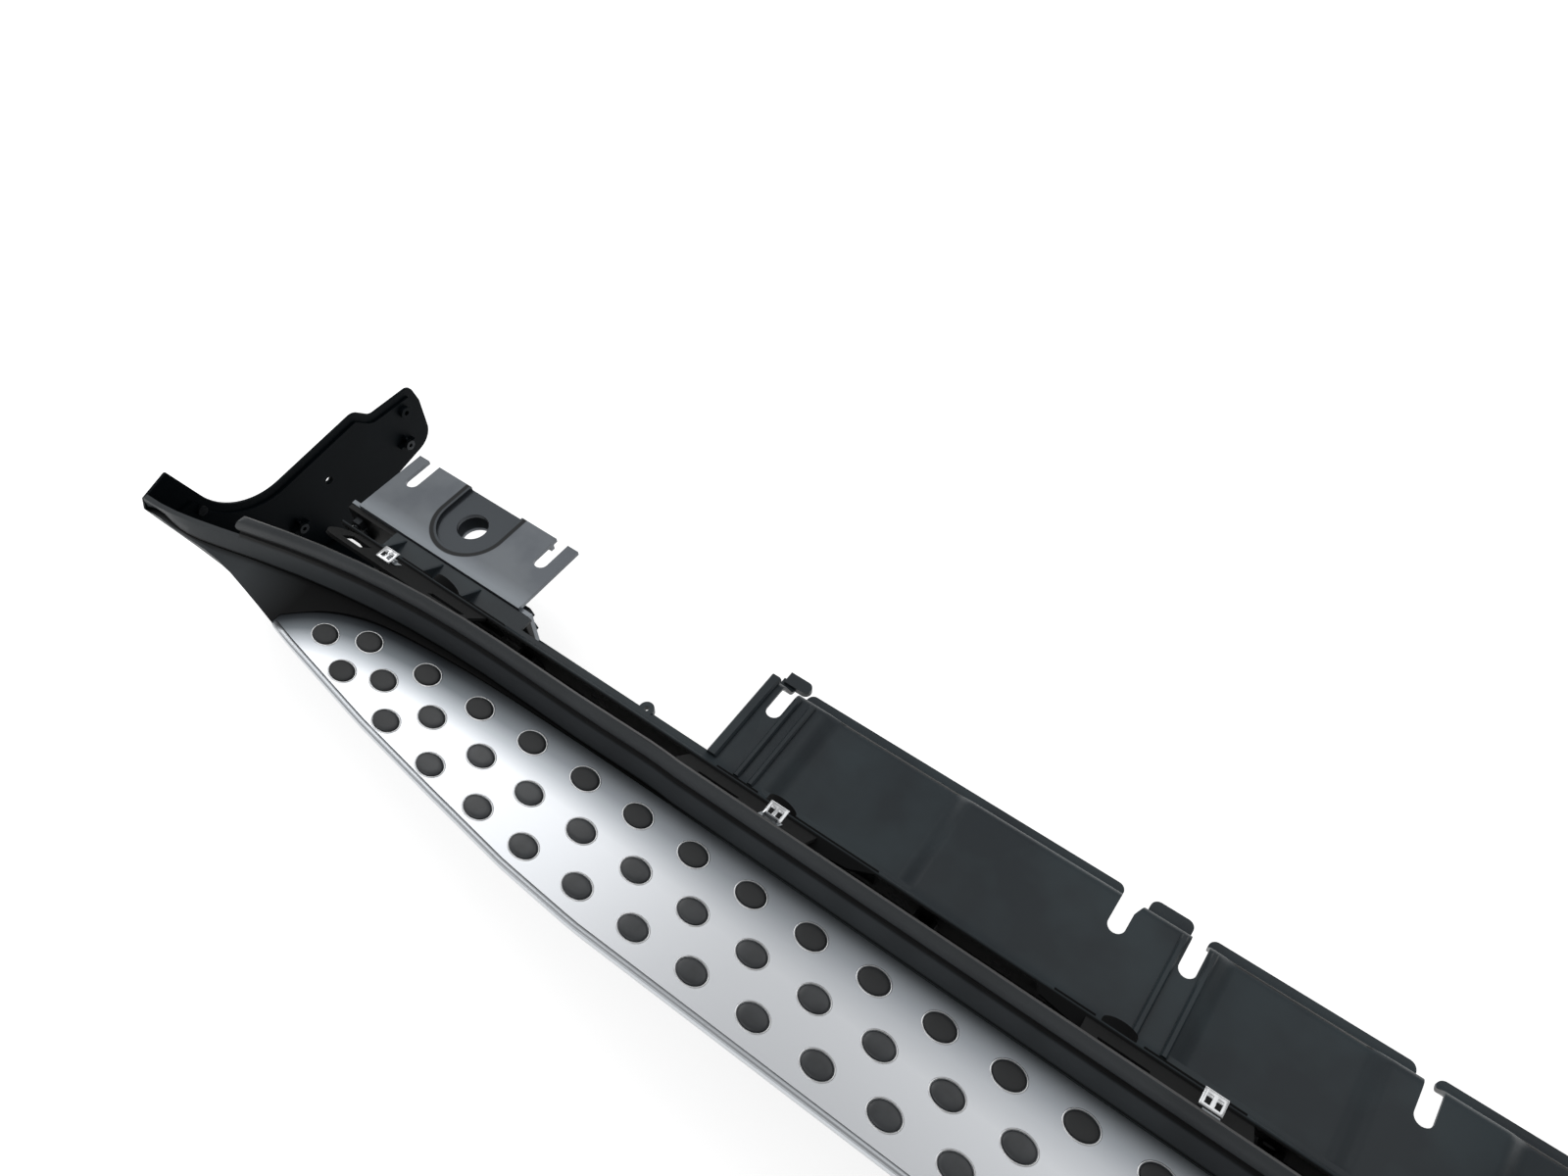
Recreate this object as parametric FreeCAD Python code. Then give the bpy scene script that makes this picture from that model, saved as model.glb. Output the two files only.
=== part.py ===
import FreeCAD, Part
import math
import os

# A running board for a large off-road car: a long black fascia with a studded aluminium tread let into
# it, a rubber seal along its upper edge, a moulded carrier and underbody shield on the car's side, a
# steel beam with two hangers and two bolt-on brackets, and a wheel-arch cap at each end.
# X runs along the board, with the front end at -X. Y points to the car. Z is up and the board stands at Z = 0.
# "From the end" is a distance along the board from the fascia's front face, "inset" is a distance
# from the tread's outer edge towards the car, and "level" is a height above the tread plane.

# overall sizes
fascia_length = 1952.0
board_depth = 326.5
tread_height = 162.0
wall = 3.0
slip = 0.3

# fascia: how its outer edge narrows towards the ends, as (from the end, inset)
outer_edge = [(0.0, 55.5), (80.0, 58.5), (133.0, 50.5), (188.0, 39.5), (284.0, 23.5), (367.0, 13.0), (444.0, 4.0),
              (510.0, 0.0)]
taper_length = 510.0
loft_ends = [0.0, 30.0, 60.0, 90.0, 120.0, 150.0, 185.0, 225.0, 270.0, 320.0, 380.0, 440.0]
shortest_bay = 20.0
sweep_start = 340.0
sweep_radius = 900.0
sweep_angle = 14.3
foot_inset = 104.5
foot_level = 2.0
foot_rise = 7.0
end_edge_rise = 9.0
ramp_reach = 36.0
band_inset = 110.5
band_level = 26.0
tongue_level = 36.5
tongue_thickness = 2.2
end_wall_level = 21.5
deck_thickness = 8.0
skirt_levels = [-12.0, -30.0, -62.0, -95.0, -130.0, -152.0]
skirt_insets_middle = [0.4, 7.0, 17.5, 33.0, 52.0, 68.0]
skirt_insets_end = [5.8, 11.0, 20.0, 28.6, 35.5, 42.0]
sole_inset_middle = 82.0
sole_inset_end = 51.0
sole_edge_inset = 142.5
upstand_height = 37.0

# tread plate and the rubber mat whose studs come up through it
tread_thickness = 2.0
tread_lip_depth = 9.0
tread_inner_edge = [(163.0, 52.0), (170.0, 58.5), (180.0, 67.5), (192.0, 75.5), (206.0, 82.5), (224.0, 88.5),
                    (246.0, 92.8), (290.0, 98.0), (350.0, 101.2), (420.0, 103.0), (510.0, 103.9)]
tread_tip = 160.0
tread_stations = [172.0, 184.0, 200.0, 224.0, 260.0, 310.0, 367.0, 440.0]
mat_thickness = 2.0
mat_margin = 4.0
stud_length = 21.4
stud_width = 15.6
stud_hole_clearance = 0.4
stud_height = 1.6
stud_dome = 0.9
stud_crown_set_in = 1.6
stud_pitch = 48.0
stud_rows = [(448.0, 22.5), (424.0, 53.5), (448.0, 84.5)]
end_studs = [(206.4, 60.9), (239.0, 75.5), (242.0, 45.9), (273.2, 58.1), (296.0, 80.6), (300.4, 35.5),
             (325.0, 57.0), (348.0, 82.5), (352.0, 29.1), (376.4, 54.9), (398.2, 84.1), (402.5, 25.2)]

# seal on the fascia's upper edge
seal_start = 98.0
seal_depth = 8.0
seal_cove = 3.2

# steel beam under the tread
beam_start = 146.0
beam_inset = 70.0
beam_depth = 40.0
beam_height = 40.0
beam_wall = 3.0

# carrier and shield, one moulding
carrier_start = 126.0
carrier_skin = 2.6
carrier_rim_inset = 147.5
carrier_rim_level = -4.0
carrier_fold_inset = 155.5
carrier_fold_level = -46.0
shelf_inset = 171.0
shelf_level = -59.5
shelf_edge_inset = 175.0
ledge_inset = 187.5
skirt_bottom_level = -64.0
end_skirt_bottom_level = -125.0
end_skirt_stop = 300.0
channel_back_inset = 173.0
channel_bottom_level = -94.0
channel_lip_inset = 189.5
shield_start = 480.0
# the places further along are given for a board of twice this length
drawn_half_length = 976.0
shield_edge_inset = 258.0
shield_dip = 10.0
shield_step = 18.0
shield_fold_radius = 6.0
shield_dips = [(550.0, 650.0), (876.0, 966.0)]
shield_middle_dip = (1071.0, 1161.0)
flange_inset = 268.5
flange_end_inset = 277.0
flange_level = -84.5
slot_width = 13.0
slot_end_inset = 228.0
slot_flare = 7.0
slot_flare_run = 20.0
mouth_radius = 6.0
slot_centres = [500.5, 795.0, 848.0, 1008.0]
slot_flares = [0, 1, 0, 0]
far_slot_centres = [1198.0, 1304.0]
guide_rib_height = 3.5
guide_rib_width = 5.0
arm_rim_width = 9.0
arm_rim_height = 4.0
arm_hook_width = 11.0
arm_hook_height = 6.0
arm_hook_overlap = 5.0
guide_rib_offset = 11.0
arm_ribs = [511.0, 524.0]
arm_side_level = -93.0
middle_strip_inset = 280.5
# tab groups as (tab from, tab to, slot, clip, boss) from the end, and how far up the tab the clip sits
tab_groups = [(176.0, 292.0, 269.0, 197.0, 235.0, 0.33), (493.0, 603.0, 530.0, 574.0, 566.0, 0.66),
              (805.0, 914.0, 833.0, 887.0, 826.0, 0.9)]
# webs that run from a tab's end out to the rim, as (from the end, inset)
rim_webs = [[(599.0, 146.5), (599.0, 134.5), (632.0, 138.0), (652.0, 146.5)],
            [(769.0, 146.5), (775.0, 139.5), (806.0, 135.0), (806.0, 146.5)]]
rim_flange_width = 4.0
ear_end = 155.0
ear_slot = (164.0, 21.0, 13.0)
tab_rise = 26.0
tab_run = 22.4
tab_foot_inset = 144.5
tab_slot_share = 0.66
tab_slot = (34.0, 6.0)
boss_radius = 12.0
boss_bore = 8.0
boss_reach = 11.0
wall_holes = [309.0, 398.0, 487.0, 666.5, 745.6, 926.0, 982.0]
wall_hole_length = 16.0
wall_hole_height = 9.0
pads = [(186.0, 219.0), (249.0, 300.0), (510.0, 546.0), (579.0, 648.0), (781.0, 810.0), (843.0, 910.0)]
pad_height = 11.0
pad_rise = 3.0
leg_centres = [330.0, 690.0, 930.0]
leg_width = 16.0
leg_screw_level = -31.0
leg_screw_length = 14.0
channel_rib_pitch = 53.0
channel_bosses = [(404.0, 190.0), (436.0, 182.0)]

# hangers and brackets
bracket_centre = 174.0
bracket_length = 194.0
bracket_edge_inset = 262.5
bracket_back_inset = 188.5
bracket_level = -57.0
sheet = 4.0
bracket_slot_width = 13.0
bracket_slot_depth = 33.0
bracket_slot_edge = 12.0
bracket_bore = 28.0
bracket_bore_inset = 231.5
pad_width = 70.0
pad_drop = 4.0
bracket_back_drop = 48.0
ear_reach = 11.0
web_half_length = 66.0
web_drop = 18.0
stay_drop = 22.0
stay_half_length = 42.0
stay_edge_inset = 270.0
stay_lip = 7.0
bolt_spread = 94.0
bolt_levels = [-75.0, -94.0]
bolt_diameter = 8.0
bolt_head_width = 13.0
bolt_head_height = 5.3
washer_diameter = 17.0
washer_thickness = 1.6
nut_height = 6.5
hanger_set_in = 3.0
cheek_spread = 74.0
hanger_sheet = 5.0
hanger_bottom_level = -108.0

# end caps, liners and their fixings; outline points are (inset, level, corner radius)
cap_thickness = 3.0
cap_top = [(58.8, 19.0, 1.5), (84.5, 28.0, 2.0), (116.1, -61.0, 60.0), (256.5, -42.0, 12.0), (272.0, -57.5, 9.0),
           (321.0, -58.0, 9.0), (326.5, -80.0, 10.0), (326.5, -131.0, 22.0), (204.0, -162.0, 60.0)]
liner_margin = 8.0
liner_thickness = 2.5
liner_top_level = -12.0
cap_hole = (206.5, -89.0, 7.0)
# the cap's lower edge turns in under the fascia, as (from the end, inset)
cap_foot = [(0.0, 146.0), (58.0, 172.0), (58.0, 190.0), (42.0, 195.0), (0.0, 195.0)]
liner_boss = (304.5, -77.0, 12.0)
liner_clips = [(161.0, -110.0), (294.5, -111.0)]
cap_screws = [(92.5, -24.0), (121.0, -141.0), (190.0, -150.0)]
screw_diameter = 4.0
screw_head_diameter = 9.0
screw_head_height = 2.4
clip_length = 17.0
clip_neck = 11.0
clip_width = 9.0
clip_gap = 0.5
clip_sheet = 0.8
clip_reach = 4.0

half = fascia_length / 2
outer_y = -board_depth / 2


def at(end, inset, level):
    return FreeCAD.Vector(end - half, outer_y + inset, tread_height + level)


def block(end_a, end_b, inset_a, inset_b, level_a, level_b):
    size = (end_b - end_a, inset_b - inset_a, level_b - level_a)
    return Part.makeBox(size[0], size[1], size[2], at(end_a, inset_a, level_a))


def rod(radius, length, end, inset, level, direction):
    return Part.makeCylinder(radius, length, at(end, inset, level), FreeCAD.Vector(*direction))


def join(shapes):
    solid = shapes[0].fuse(list(shapes[1:])) if len(shapes) > 1 else shapes[0]
    return solid.removeSplitter()


def closed_face(points):
    return Part.Face(Part.makePolygon(list(points) + [points[0]]))


def extrude_section(section, end_a, end_b):
    face = closed_face([at(end_a, inset, level) for inset, level in section])
    return face.extrude(FreeCAD.Vector(end_b - end_a, 0, 0))


def mirrored(shape):
    return shape.mirror(FreeCAD.Vector(0, 0, 0), FreeCAD.Vector(1, 0, 0))


def both_ends(ends):
    return list(ends) + [fascia_length - end for end in reversed(ends)]


def shorter_than(ends, length):
    # the stations that leave a fair bay before this length
    return [end for end in ends if end < length - shortest_bay]


def along(end):
    # what lies past the shield's start keeps its share of the board's length
    if end <= shield_start:
        return end
    return shield_start + (end - shield_start) * (half - shield_start) / (drawn_half_length - shield_start)


def smooth(table, x):
    # a curve through the table's points with even tangents
    if x <= table[0][0]:
        return table[0][1]
    if x >= table[-1][0]:
        return table[-1][1]
    count = len(table)
    i = max(k for k in range(count - 1) if table[k][0] <= x)
    slopes = []
    for k in (i, i + 1):
        low = max(k - 1, 0)
        high = min(k + 1, count - 1)
        slopes.append((table[high][1] - table[low][1]) / (table[high][0] - table[low][0]))
    if i + 1 == count - 1:
        slopes[1] = 0.0
    span = table[i + 1][0] - table[i][0]
    t = (x - table[i][0]) / span
    a = (2 * t ** 3 - 3 * t ** 2 + 1) * table[i][1] + (t ** 3 - 2 * t ** 2 + t) * span * slopes[0]
    b = (3 * t ** 2 - 2 * t ** 3) * table[i + 1][1] + (t ** 3 - t ** 2) * span * slopes[1]
    return a + b


def rounded_face(points, end):
    # a face across the board from (inset, level, radius) corners, with each corner an arc
    count = len(points)
    edges = []
    starts = []
    stops = []
    arcs = []
    for k in range(count):
        before = at(end, *points[k - 1][:2])
        corner = at(end, *points[k][:2])
        after = at(end, *points[(k + 1) % count][:2])
        radius = points[k][2]
        u = (before - corner).normalize()
        v = (after - corner).normalize()
        angle = math.acos(max(-1.0, min(1.0, u.dot(v))))
        if radius <= 0 or angle > math.radians(179.5):
            starts.append(corner)
            stops.append(corner)
            arcs.append(None)
            continue
        reach = radius / math.tan(angle / 2)
        middle = (u + v).normalize() * (radius / math.sin(angle / 2) - radius)
        starts.append(corner + u * reach)
        stops.append(corner + v * reach)
        arcs.append(Part.Arc(corner + u * reach, corner + middle, corner + v * reach).toShape())
    for k in range(count):
        if arcs[k]:
            edges.append(arcs[k])
        following = starts[(k + 1) % count]
        if stops[k].distanceToPoint(following) > 1e-6:
            edges.append(Part.LineSegment(stops[k], following).toShape())
    return Part.Face(Part.Wire(Part.__sortEdges__(edges)))


def sweep_shift(end):
    # how far the wall has turned outwards at this distance from the end
    turn = math.radians(sweep_angle)
    run = sweep_start - end
    if run <= 0:
        return 0.0
    if run <= sweep_radius * math.sin(turn):
        return sweep_radius - math.sqrt(sweep_radius ** 2 - run ** 2)
    straight = run - sweep_radius * math.sin(turn)
    return sweep_radius * (1 - math.cos(turn)) + straight * math.tan(turn)


def edge_inset(end):
    return smooth(outer_edge, end)


def foot_line(end):
    inset = max(foot_inset - sweep_shift(end), edge_inset(end) + 3.0)
    level = foot_level + foot_rise * (max(0.0, sweep_start - end) / sweep_start) ** 1.3
    return inset, level


def band_line(end):
    return max(band_inset - 0.97 * sweep_shift(end), edge_inset(end) + 4.0), band_level


def edge_level(end):
    return end_edge_rise * max(0.0, 1.0 - end / tread_tip) ** 1.6


def ramp_level(end, inset):
    foot, high = foot_line(end)
    low = edge_level(end)
    return low + (high - low) * max(0.0, 1.0 - (foot - inset) / ramp_reach) ** 2


def narrowing(end):
    return edge_inset(end) / outer_edge[0][1]


def skirt_line(end):
    share = narrowing(end)
    edge = edge_inset(end)
    line = []
    for level, middle, tip in zip(skirt_levels, skirt_insets_middle, skirt_insets_end):
        line.append((edge + middle + (tip - middle) * share, level))
    line.append((edge + sole_inset_middle + (sole_inset_end - sole_inset_middle) * share, -tread_height))
    return line


def fascia_section(end):
    edge = edge_inset(end)
    foot, foot_z = foot_line(end)
    band, band_z = band_line(end)
    tongue = band + 1.4
    outside = [(tongue + tongue_thickness, tongue_level), (tongue, tongue_level), (tongue, band_z + 0.8),
               (band, band_z), ((band + foot) / 2 - 0.6, (band_z + foot_z) / 2), (foot - 0.2, foot_z + 1.2),
               (foot + 0.5, foot_z - 0.8)]
    width = foot - edge
    for share in (0.03, 0.1, 0.19, 0.29, 0.5):
        inset = foot - share * width
        outside.append((inset, ramp_level(end, inset)))
    outside.append((edge, edge_level(end)))
    outside += skirt_line(end)
    outside.append((sole_edge_inset, -tread_height))
    outside.append((sole_edge_inset, upstand_height - tread_height))
    inside = [(sole_edge_inset - wall, upstand_height - tread_height), (sole_edge_inset - wall, wall - tread_height)]
    skirt = skirt_line(end)
    inside.append((skirt[-1][0] + 2.0, wall - tread_height))
    for inset, level in reversed(skirt[1:-1]):
        inside.append((inset + wall + 0.6, level + 0.8))
    inside += [(edge + wall + 2.4, -deck_thickness), (foot + wall + 1.2, -deck_thickness),
               (foot + wall + 1.2, foot_z), (band + wall + 0.6, band_z)]
    return outside + inside


def seal_section(end):
    band, band_z = band_line(end)
    tongue = band + 1.4
    back = tongue + tongue_thickness
    base = band_z + seal_cove
    return [(band + 0.8, base), (band - 0.2, base + 2.4), (band - 0.3, base + 5.0), (band + 0.8, base + 10.0),
            (band + 3.0, base + 13.6), (band + 5.6, base + 14.4), (band + seal_depth, base + 12.0),
            (band + seal_depth, base - 1.0),
            (back + slip, base - 1.0), (back + slip, tongue_level + slip), (tongue - slip, tongue_level + slip),
            (tongue - slip, base)]


def loft_sections(section, ends):
    wires = []
    for end in ends:
        points = [at(end, inset, level) for inset, level in section(end)]
        wires.append(Part.makePolygon(points + [points[0]]))
    return Part.makeLoft(wires, True, False)


def long_moulding(section):
    # the two curved ends are lofts, and the straight middle is extruded between them
    front = loft_sections(section, shorter_than(loft_ends, taper_length) + [taper_length])
    middle = extrude_section(section(taper_length), taper_length, fascia_length - taper_length)
    return front.fuse([middle, mirrored(front)]).removeSplitter()


def tread_outline(margin):
    # stations along both edges; the margin moves the whole line outwards, or inwards if negative
    stations = [tread_tip + 4.0] + shorter_than(tread_stations, taper_length) + [taper_length]
    lower = [at(end, edge_inset(end) - margin, 0) for end in stations]
    upper = [at(end, smooth(tread_inner_edge, end) + margin, 0) for end in stations]
    shift = FreeCAD.Vector(-margin, 0, 0)
    return [point + shift for point in lower], [point + shift for point in upper]


def spline(points):
    curve = Part.BSplineCurve()
    curve.interpolate(points)
    return curve.toShape()


def across(point):
    return FreeCAD.Vector(-point.x, point.y, point.z)


def tread_face(margin):
    lower, upper = tread_outline(margin)
    edges = [spline(lower), spline(upper), Part.LineSegment(lower[0], upper[0]).toShape()]
    edges += [spline([across(p) for p in lower]), spline([across(p) for p in upper])]
    edges.append(Part.LineSegment(across(lower[0]), across(upper[0])).toShape())
    edges.append(Part.LineSegment(lower[-1], across(lower[-1])).toShape())
    edges.append(Part.LineSegment(upper[-1], across(upper[-1])).toShape())
    return Part.Face(Part.Wire(Part.__sortEdges__(edges)))


def lip_face(margin):
    # the strip along the outer edge that turns down over the fascia
    lower, upper = tread_outline(margin)
    width = FreeCAD.Vector(0, tread_thickness + 2 * margin, 0)
    line = lower + [across(p) for p in reversed(lower)]
    edges = [spline(lower), spline([across(p) for p in lower]),
             Part.LineSegment(lower[-1], across(lower[-1])).toShape()]
    inner = [edge.copy() for edge in edges]
    for edge in inner:
        edge.translate(width)
    ends = [Part.LineSegment(p, p + width).toShape() for p in (line[0], line[-1])]
    return Part.Face(Part.Wire(Part.__sortEdges__(edges + inner + ends)))


def stud_places():
    places = list(end_studs) + [(fascia_length - end, inset) for end, inset in end_studs]
    for start, inset in stud_rows:
        count = int(round((fascia_length - 2 * start) / stud_pitch)) + 1
        places += [(start + k * stud_pitch, inset) for k in range(count)]
    return places


def tread_body(margin):
    down = FreeCAD.Vector(0, 0, -1)
    lip = lip_face(margin).extrude(down * (tread_lip_depth + margin))
    return tread_face(margin).extrude(down * (tread_thickness + margin)).fuse(lip).removeSplitter()


def oval(margin, end, inset, level):
    # the outline of a stud or of its hole, longer along the board
    curve = Part.Ellipse(at(end, inset, level), stud_length / 2 + margin, stud_width / 2 + margin)
    return Part.Wire(curve.toShape())


def oval_post(margin, end, inset, level, height):
    return Part.Face(oval(margin, end, inset, level)).extrude(FreeCAD.Vector(0, 0, height))


def tread_plate():
    plate = tread_body(0.0)
    holes = [oval_post(stud_hole_clearance, end, inset, -2 * tread_thickness, 3 * tread_thickness)
             for end, inset in stud_places()]
    return plate.cut(Part.makeCompound(holes))


def stud_mat():
    down = FreeCAD.Vector(0, 0, -1)
    sheet_top = tread_face(-mat_margin)
    sheet_top.translate(down * tread_thickness)
    pieces = [sheet_top.extrude(down * mat_thickness)]
    shoulder = stud_height - stud_dome
    for end, inset in stud_places():
        foot = oval(0, end, inset, shoulder)
        crown = Part.makeLoft([foot, oval(-stud_crown_set_in, end, inset, stud_height)], True, True)
        pieces += [oval_post(0, end, inset, -tread_thickness, tread_thickness + shoulder), crown]
    return pieces[0].fuse(pieces[1:]).removeSplitter()


def outer_trim():
    body = long_moulding(fascia_section)
    recess = tread_face(slip).extrude(FreeCAD.Vector(0, 0, -1) * (tread_thickness + mat_thickness))
    above = tread_face(slip).extrude(FreeCAD.Vector(0, 0, foot_rise))
    lip = lip_face(slip).extrude(FreeCAD.Vector(0, 0, -1) * (tread_lip_depth + slip))
    bare_tongue = []
    for end_a, end_b in ((-1.0, seal_start), (fascia_length - seal_start, fascia_length + 1.0)):
        bare_tongue.append(block(end_a, end_b, 0, board_depth, end_wall_level, tongue_level + 5.0))
    body = body.cut(recess.fuse([above, lip])).cut(Part.makeCompound(bare_tongue))
    return body


def sill_seal():
    # the bead stops short of both ends, where its crest slopes down to the fascia
    body = long_moulding(seal_section)
    slope = [(-1.0, tongue_level - 12.0), (seal_start + slip, tongue_level - 12.0),
             (seal_start + slip, tongue_level - 1.0), (seal_start + 3.0, tongue_level + 4.0),
             (seal_start + 10.0, tongue_level + 7.0), (seal_start + 10.0, tongue_level + 20.0),
             (-1.0, tongue_level + 20.0)]
    face = closed_face([at(end, 0.0, level) for end, level in slope])
    off = face.extrude(FreeCAD.Vector(0, board_depth, 0))
    return body.cut(off.fuse(mirrored(off)))


def step_beam():
    top = -deck_thickness
    outer = block(beam_start, fascia_length - beam_start, beam_inset, beam_inset + beam_depth, top - beam_height, top)
    hollow = block(beam_start - 1, fascia_length - beam_start + 1, beam_inset + beam_wall,
                   beam_inset + beam_depth - beam_wall, top - beam_height + beam_wall, top - beam_wall)
    pilots = [rod(screw_diameter / 2 + slip, 3 * beam_wall, end, beam_inset + beam_depth - 2 * beam_wall,
                  leg_screw_level, (0, 1, 0)) for end in leg_places()]
    return outer.cut(hollow).cut(Part.makeCompound(pilots))


def offset_section(line, skin):
    # closes a top line into a skin of even thickness, measured square to each stretch
    lower = []
    for k in range(len(line)):
        a = line[max(k - 1, 0)]
        b = line[min(k + 1, len(line) - 1)]
        length = math.hypot(b[0] - a[0], b[1] - a[1])
        lower.append((line[k][0] + skin * (b[1] - a[1]) / length, line[k][1] - skin * (b[0] - a[0]) / length))
    return line + list(reversed(lower))


def rounded_line(line, radius):
    # the same line with each corner eased by a short curve
    eased = [line[0]]
    for k in range(1, len(line) - 1):
        corner = line[k]
        ends = []
        for other in (line[k - 1], line[k + 1]):
            length = math.hypot(other[0] - corner[0], other[1] - corner[1])
            share = min(radius, 0.45 * length) / length
            ends.append((corner[0] + share * (other[0] - corner[0]), corner[1] + share * (other[1] - corner[1])))
        for t in (0.0, 0.33, 0.67, 1.0):
            weights = ((1 - t) ** 2, 2 * t * (1 - t), t ** 2)
            points = (ends[0], corner, ends[1])
            eased.append(tuple(sum(w * point[axis] for w, point in zip(weights, points)) for axis in (0, 1)))
    return eased + [line[-1]]


def shield_ends():
    return shield_start, fascia_length - shield_start


def wall_line():
    return [(carrier_rim_inset, carrier_rim_level), (carrier_fold_inset, carrier_fold_level),
            (shelf_inset, shelf_level)]


def carrier_wall():
    start, stop = carrier_start, fascia_length - carrier_start
    line = wall_line() + [(shelf_edge_inset, shelf_level)]
    return extrude_section(offset_section(line, carrier_skin), start, stop)


def wall_skirts():
    # below the fold the wall goes on down, deeper at the ends, where the hanger's cheeks pass through it
    inset = carrier_fold_inset - 0.6
    middle = block(carrier_start, fascia_length - carrier_start, inset, inset + carrier_skin,
                   skirt_bottom_level, carrier_fold_level - 1.0)
    solids = [middle]
    windows = []
    deep = block(carrier_start, end_skirt_stop, inset, inset + carrier_skin, end_skirt_bottom_level,
                 carrier_fold_level - 1.0)
    for side in (-1, 1):
        centre = bracket_centre + side * cheek_spread / 2
        reach = hanger_sheet / 2 + 1.0
        windows.append(block(centre - reach, centre + reach, inset - 2.0, inset + carrier_skin + 2.0,
                             hanger_bottom_level - 2.0, skirt_bottom_level))
    return solids + [deep, mirrored(deep)], windows + [mirrored(window) for window in windows]


def ledges():
    # the shelf reaches further out next to each bracket
    stop = bracket_centre + bracket_length / 2 + ear_reach + 4.0
    ledge = block(carrier_start, stop, shelf_edge_inset - 3.0, ledge_inset, shelf_level - carrier_skin, shelf_level)
    return [ledge, mirrored(ledge)]


def rim_flanges():
    # a narrow flange on the rim carries the foot of each tab
    return [block(a, b, carrier_rim_inset - rim_flange_width, carrier_rim_inset - 0.5,
                  carrier_rim_level - carrier_skin, carrier_rim_level) for a, b, slot, clip, boss, share in tab_groups_all()]


def rim_web_solids():
    solids = []
    for outline in rim_webs:
        face = closed_face([at(along(end), inset, carrier_rim_level - carrier_skin) for end, inset in outline])
        web = face.extrude(FreeCAD.Vector(0, 0, carrier_skin))
        solids += [web, mirrored(web)]
    return solids


def tab_ears():
    # a rounded ear with an oblong window at the outer end of the first tab
    ear = tab_plate(ear_end, tab_groups[0][0] + 1.0)
    radius = math.hypot(tab_rise, tab_run) / 2
    normal = FreeCAD.Vector(0, tab_rise, tab_run)
    round_end = Part.makeCylinder(radius, carrier_skin, at(ear_end, *tab_point(0.5, carrier_skin)), normal)
    ear = ear.fuse(round_end)
    window = tab_cut(ear_slot[0], 0.5, ear_slot[1], ear_slot[2])
    return [ear, mirrored(ear)], [window, mirrored(window)]


def channel(end_a, end_b):
    # the trough below the shelf, open towards the car, with cross ribs
    back = block(end_a, end_b, channel_back_inset, channel_back_inset + carrier_skin,
                 channel_bottom_level, shelf_level - carrier_skin / 2)
    lip = block(end_a, end_b, channel_back_inset, channel_lip_inset,
                channel_bottom_level, channel_bottom_level + carrier_skin)
    pieces = [back, lip]
    count = max(1, int((end_b - end_a) / channel_rib_pitch))
    step = (end_b - end_a) / count
    for k in range(count + 1):
        centre = min(max(end_a + k * step, end_a + 1.0), end_b - 1.0)
        rib = [(channel_back_inset + 1.0, channel_bottom_level + 1.0),
               (channel_lip_inset - 2.0, channel_bottom_level + 1.0),
               (shelf_edge_inset, shelf_level - 1.0), (channel_back_inset + 1.0, shelf_level - 1.0)]
        pieces.append(extrude_section(rib, centre - 1.0, centre + 1.0))
    return pieces


def shield_line(dip):
    top = shelf_level - dip
    line = [(shelf_inset - 4.0, shelf_level + 3.0), (shelf_inset + 2.0, top), (shield_edge_inset + dip * 0.45, top),
            (flange_inset, flange_level), (flange_end_inset, flange_level)]
    return offset_section(rounded_line(line, shield_fold_radius), carrier_skin)


def shield_panel(end_a, end_b, dip):
    return extrude_section(shield_line(dip), end_a, end_b)


def dip_ends():
    dips = list(shield_dips) + [shield_middle_dip]
    dips += [(2 * drawn_half_length - b, 2 * drawn_half_length - a) for a, b in reversed(shield_dips[:1])]
    return [(along(a), along(b)) for a, b in dips]


def shield():
    start, stop = shield_ends()
    pieces = []
    here = start
    for low_a, low_b in dip_ends():
        pieces.append(shield_panel(here, low_a - shield_step, 0.0))
        for a, b, dip_a, dip_b in ((low_a - shield_step, low_a, 0.0, shield_dip),
                                   (low_b, low_b + shield_step, shield_dip, 0.0)):
            pieces.append(step_panel(a, b, dip_a, dip_b))
        pieces.append(shield_panel(low_a, low_b, shield_dip))
        here = low_b + shield_step
    pieces.append(shield_panel(here, stop, 0.0))
    return pieces


def step_panel(end_a, end_b, dip_a, dip_b):
    # the panel eases from one depth to the other
    wires = []
    for t in (0.0, 0.2, 0.4, 0.6, 0.8, 1.0):
        dip = dip_a + (dip_b - dip_a) * t * t * (3 - 2 * t)
        points = [at(end_a + (end_b - end_a) * t, inset, level) for inset, level in shield_line(dip)]
        wires.append(Part.makePolygon(points + [points[0]]))
    return Part.makeLoft(wires, True, True)


def open_slots():
    slots = list(zip(slot_centres, slot_flares)) + list(zip(far_slot_centres, (0, 1)))
    slots.append((2 * drawn_half_length - slot_centres[0], -slot_flares[0]))
    return [(along(centre), flare) for centre, flare in slots]


def slot_shape(centre, flare, width, level_a, level_b):
    # a slot with a round closed end, open at the flange, with one side flared where it crosses the flange
    r = width / 2
    far = flange_end_inset + 5.0
    height = level_b - level_a
    shape = rod(r, height, centre, slot_end_inset + r, level_a, (0, 0, 1))
    shape = shape.fuse(block(centre - r, centre + r, slot_end_inset + r, far, level_a, level_b))
    if flare:
        edge = centre + flare * (r - 0.01)
        points = [(edge, flange_inset - slot_flare_run), (edge, far), (edge + flare * slot_flare, far),
                  (edge + flare * slot_flare, flange_inset)]
        face = closed_face([at(end, inset, level_a) for end, inset in points])
        shape = shape.fuse(face.extrude(FreeCAD.Vector(0, 0, height)))
    return shape


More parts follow.
